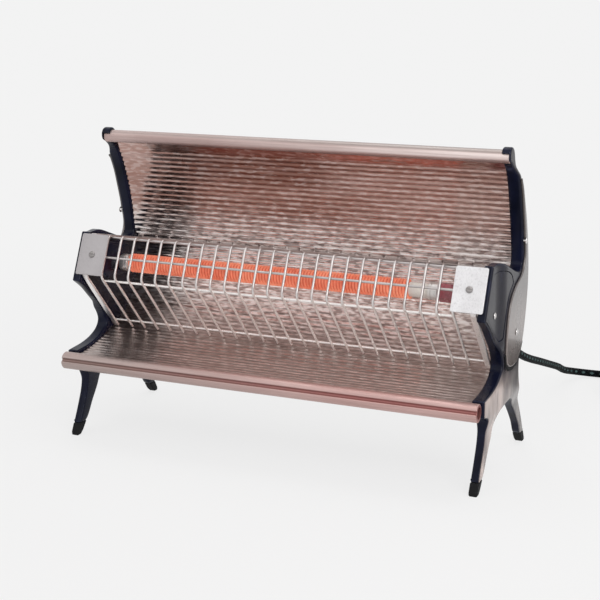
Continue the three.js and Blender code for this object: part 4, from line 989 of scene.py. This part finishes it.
def make_plates():
    """The guard's end plates and their screws."""
    half_w, half_h, r = (PLATE_X[1] - PLATE_X[0]) / 2, PLATE_TALL / 2, 1.6
    ring = []
    for sx, sz, first in ((1, 1, 0), (-1, 1, 90), (-1, -1, 180), (1, -1, 270)):
        for a in (math.radians(first + 22.5 * k) for k in range(5)):
            spot = (sx * (half_w - r) + r * math.cos(a), sz * (half_h - r) + r * math.sin(a))
            ring.append(tuple(c * MM for c in spot))
    flat = plate("guard_end_right", ring, -PLATE_THICK / 2, PLATE_THICK / 2, 0.35, 3)
    up, out = Vector((0, -LEAN.x, -LEAN.y)), Vector((0, FACING.x, FACING.y))
    turn = Matrix((out, up.cross(out), up)).transposed().to_4x4()
    turn.translation = at(sum(PLATE_X) / 2, *on_plane(PLATE_TALL / 2, PLATE_THICK / 2))
    flat.data.transform(turn)
    tidy_normals(flat.data)
    finish_pair(shade(flat), "plate_white", "guard_plate")
    for side, word in SIDES:
        seat = at(side * sum(PLATE_X) / 2, *on_plane(PLATE_TALL / 2, 0))
        screw("guard_fixing_" + word, seat, out, (3, 1.5), "steel", "guard_screw_" + word,
              look="screw_dark")


def make_screws():
    for side, word in SIDES:
        for y, z, high in COVER_SCREWS:
            seat = at(side * (COVER_X[1] + 0.1), y, z)
            screw(f"lid_fixing_{word}_{high}", seat, (side, 0, 0), (2.8, 1.2), "screw_chrome",
                  f"side_cover_screw_{word}_{high}")
        deep = (LID_X[1] + 0.1 - INNER) * (1 - slimness(*LID_SCREW))
        seat = at(side * (INNER + deep), *LID_SCREW)
        screw("terminal_fixing_" + word, seat, (side, 0, 0), (2.8, 1.2), "screw_chrome",
              "terminal_cover_screw_" + word)
        seat = at(side * BACK_SCREW[0], *BACK_SCREW[1:])
        screw("back_fixing_" + word, seat, (0, 1, 0), (3.2, 1.5), "steel", "back_screw_" + word)


def make_feet():
    for word in ("left", "right"):
        for end in ("front", "rear"):
            node = f"foot_cap_{end}_{word}"
            finish(softened(node, f"foot_{end}_{word}", 0.8, 3, 25), "rubber", node)
    finish(softened("cord_grommet", "lid_end", 0.4), "rubber", "cord_grommet")


make_ends()
make_plates()
make_screws()
make_feet()

# ---- guard
WIRE = 1.1
WIRE_BEND = 4.5
BEHIND_LOOPS = 1.5
TIE_AT = 0.22
LOOPS = 25
LOOP_PITCH = 13.6
LOOPS_HALF = (LOOPS - 1) / 2 * LOOP_PITCH
STRAP_AT, STRAP_HALF = 180.4, 2.7
STRAPS_HALF = STRAP_AT + STRAP_HALF
GUARD_BACK = PLATE_THICK + GAP + WIRE
GUARD_LINE = [(38, 163.4), tuple(on_plane(0, GUARD_BACK)), tuple(on_plane(PLATE_TALL, GUARD_BACK)),
              (-7.3, 89.4)]
# each long wire: the two corners of the guard's line, how far it is from the first, and its half length
LONG_WIRES = [(0, 1, 0.06, STRAPS_HALF), (0, 1, 0.2, STRAPS_HALF), (1, 0, 0.07, LOOPS_HALF),
              (1, 2, 0.52, LOOPS_HALF), (2, 3, 0.1, LOOPS_HALF), (3, 2, 0.09, STRAPS_HALF)]
ROD = {"y": -20, "z": 153.5, "r": 6.2, "left": -159.8, "right": 137.0}
WINDING = {"turns": 96, "r": 7.75, "wire": 0.85, "left": -153.0, "right": 115.5, "steps": 18}


def rounded_line(points, radius, steps=6):
    """A line whose corners are turned on an arc."""
    out = [points[0]]
    for a, c, b in zip(points, points[1:], points[2:]):
        a, c, b = Vector(a), Vector(c), Vector(b)
        p, q = c + (a - c).normalized() * radius, c + (b - c).normalized() * radius
        out += [turned_corner(p, c, q, t) for t in np.linspace(0, 1, steps + 1)]
    return [*out, points[-1]]


def bent(name, line, x, half_x, half_n, power, sides):
    """A wire or strap bent along a (depth, height) line."""
    path = np.array(line)
    ring = []
    for a in angles(sides, 0.5):
        c, s = math.cos(a), math.sin(a)
        wide = half_x * math.copysign(abs(c) ** power, c)
        ring.append((wide, half_n * math.copysign(abs(s) ** power, s)))
    rings = [[at(x + dx, *(p + n * dn)) for dx, dn in ring] for p, n in zip(path, normals_2d(path))]
    return solid(name, rings)


def straight(name, xs, spot):
    """A straight wire along X, with a short step at each end."""
    first, last = xs
    return tube(name, [at(x, *spot) for x in (first, first + 0.3, last - 0.3, last)], WIRE * MM, 12)


def make_guard():
    line = rounded_line(GUARD_LINE, WIRE_BEND)
    xs = [(i - (LOOPS - 1) / 2) * LOOP_PITCH for i in range(LOOPS)]
    parts = [bent("loop", line, x, WIRE, WIRE, 1, 12) for x in xs]
    parts += [bent("strap", line, side * STRAP_AT, STRAP_HALF, WIRE, 0.45, 20) for side in (-1, 1)]
    corners = [Vector(p) for p in GUARD_LINE]
    for first, second, share, half in LONG_WIRES:
        a, b = corners[first], corners[second]
        spot = a.lerp(b, share)
        along = (b - a).normalized()
        inward = Vector((-along.y, along.x))
        if inward.dot(Vector((ROD["y"], ROD["z"])) - spot) < 0:
            inward.negate()
        parts.append(straight("long", (-half, half), spot + inward * BEHIND_LOOPS))
    tie = corners[1].lerp(corners[2], TIE_AT)
    parts += [straight("tie", xs, tie) for xs in ((-STRAPS_HALF, -LOOPS_HALF), (LOOPS_HALF, STRAPS_HALF))]
    obj = shade(join("guard_wires", parts), 40)
    finish(obj, "guard_chrome", "guard_roof", "guard_front", "guard_base")


make_guard()


# ---- heating element
def bar(name, r, first, last, edge, sides):
    """A round bar on the rod's axis."""
    return lathe(name, rim(r, last - first, edge), at(first, ROD["y"], ROD["z"]), (1, 0, 0), sides)


def make_element():
    finish(bar("rod", ROD["r"], ROD["left"], ROD["right"], 0.4, 48), "ceramic", "element_rod")
    left, right = WINDING["left"], WINDING["right"]
    steps = WINDING["turns"] * WINDING["steps"]
    centres = []
    for i in range(steps + 1):
        turn = 2 * math.pi * i / WINDING["steps"]
        centre = at(left + (right - left) * i / steps, ROD["y"], ROD["z"])
        centres.append(centre + Vector((0, math.cos(turn), math.sin(turn))) * (WINDING["r"] * MM))
    coil = tube("hot_winding", centres, WINDING["wire"] * MM, 8, (0, 1, 0))
    finish(coil, "resistance_wire", "element_winding")
    finish(bar("hot_core", 6.75, left + 0.5, right - 0.5, 0.2, 48), "resistance_wire", look="hot_rod")
    profile = [(0, 6.6), (0, 7.2), (0.3, 7.5), (2.2, 7.6), (2.5, 7.15), (3.1, 7.15), (3.4, 7.6),
               (7.9, 7.6), (8.4, 7.2), (8.5, 6.8), (8.5, 2.4)]
    for word, x, way in (("left", ROD["left"] + 5, -1), ("right", ROD["right"] - 5, 1)):
        cap = lathe("rod_cap_" + word, profile, at(x, ROD["y"], ROD["z"]), (way, 0, 0), 48)
        finish(cap, "steel", "element_cap_" + word, look="cap_nickel")
    finish(softened("element_holder", "rod_holder", 0.7), "holder_maroon", "element_holder")
    for word in ("left", "right"):
        low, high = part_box("terminal_stud_" + word)
        stud = bar("stud_" + word, 2, low[0] / MM, high[0] / MM, 0.3, 32)
        finish(stud, "brass", "terminal_stud_" + word)


make_element()

repaint("ceramic", "terminal_bush_left", "terminal_bush_right", "terminal_block")
repaint("brass", "terminal_nut_left", "terminal_nut_right")
repaint("lead_cloth", "lead_left", "lead_right")

# ---- studio
PALE = (0.895, 0.895, 0.895)


def seen_rays(nodes):
    """1 for rays that show an image: the camera's, and those mirrored or passed on by the object."""
    total = nodes.node("LightPath", out="Is Camera Ray")
    for kind in ("Is Glossy Ray", "Is Transmission Ray"):
        total = nodes.math("MAXIMUM", total, nodes.node("LightPath", out=kind))
    return total


def make_floor():
    """A wide pale floor that fades into the backdrop away from the heater."""
    mesh = bpy.data.meshes.new("floor")
    mesh.from_pydata([(-9, -9, 0), (9, -9, 0), (9, 9, 0), (-9, 9, 0)], [], [(0, 1, 2, 3)])
    floor = add_object("floor", mesh)
    look = Look("floor", Base_Color=(0.78, 0.77, 0.765), Roughness=0.8)
    far = look.node("VectorMath", {"operation": "LENGTH"}, out="Value", i0=look.node("TexCoord", out=3))
    soft = {"interpolation_type": "SMOOTHSTEP"}
    fade = look.node("MapRange", soft, i0=far, i1=0.25, i2=1.1, i3=0.86, i4=1.0)
    lit = look.tree.nodes["Principled BSDF"].outputs[0]
    pale = look.node("Emission", Color=PALE)
    seen = look.node("MixShader", i0=look.times(seen_rays(look), fade), i1=lit, i2=pale)
    look.feed(look.tree.nodes["Material Output"].inputs[0], seen)
    mesh.materials.append(look.material)


def make_world():
    """A soft room, brighter above. Rays that show an image meet the pale backdrop."""
    world = bpy.data.worlds.new("studio")
    world.use_nodes = True
    bpy.context.scene.world = world
    nodes = Nodes(world.node_tree)
    high = nodes.span(nodes.axis(2, nodes.node("TexCoord", out="Generated")), -0.2, 0.9)
    room = nodes.mix(high, (0.42, 0.41, 0.41), (0.95, 0.95, 0.96))
    lit = nodes.node("Background", Color=room, Strength=0.75)
    pale = nodes.node("Background", Color=PALE)
    seen = nodes.node("MixShader", i0=seen_rays(nodes), i1=lit, i2=pale)
    nodes.feed(nodes.tree.nodes["World Output"].inputs[0], seen)


def lamp(name, place, aim, size, power):
    data = bpy.data.lights.new(name, "AREA")
    data.shape = "RECTANGLE"
    data.size, data.size_y = size
    data.energy = power
    obj = add_object(name, data)
    obj.location = place
    obj.rotation_euler = (Vector(aim) - Vector(place)).to_track_quat("-Z", "Y").to_euler()


make_floor()
make_world()
lamp("key", (0.95, -0.8, 0.9), (0.15, 0, 0.15), (0.9, 0.8), 9)
lamp("fill", (-1.3, -1.6, 1.9), (0, 0, 0.15), (1.8, 1.4), 4)
lamp("top", (0.1, 0.5, 2.2), (0, 0, 0.15), (2.2, 1.2), 16)

bpy.context.scene.view_settings.view_transform = "Standard"
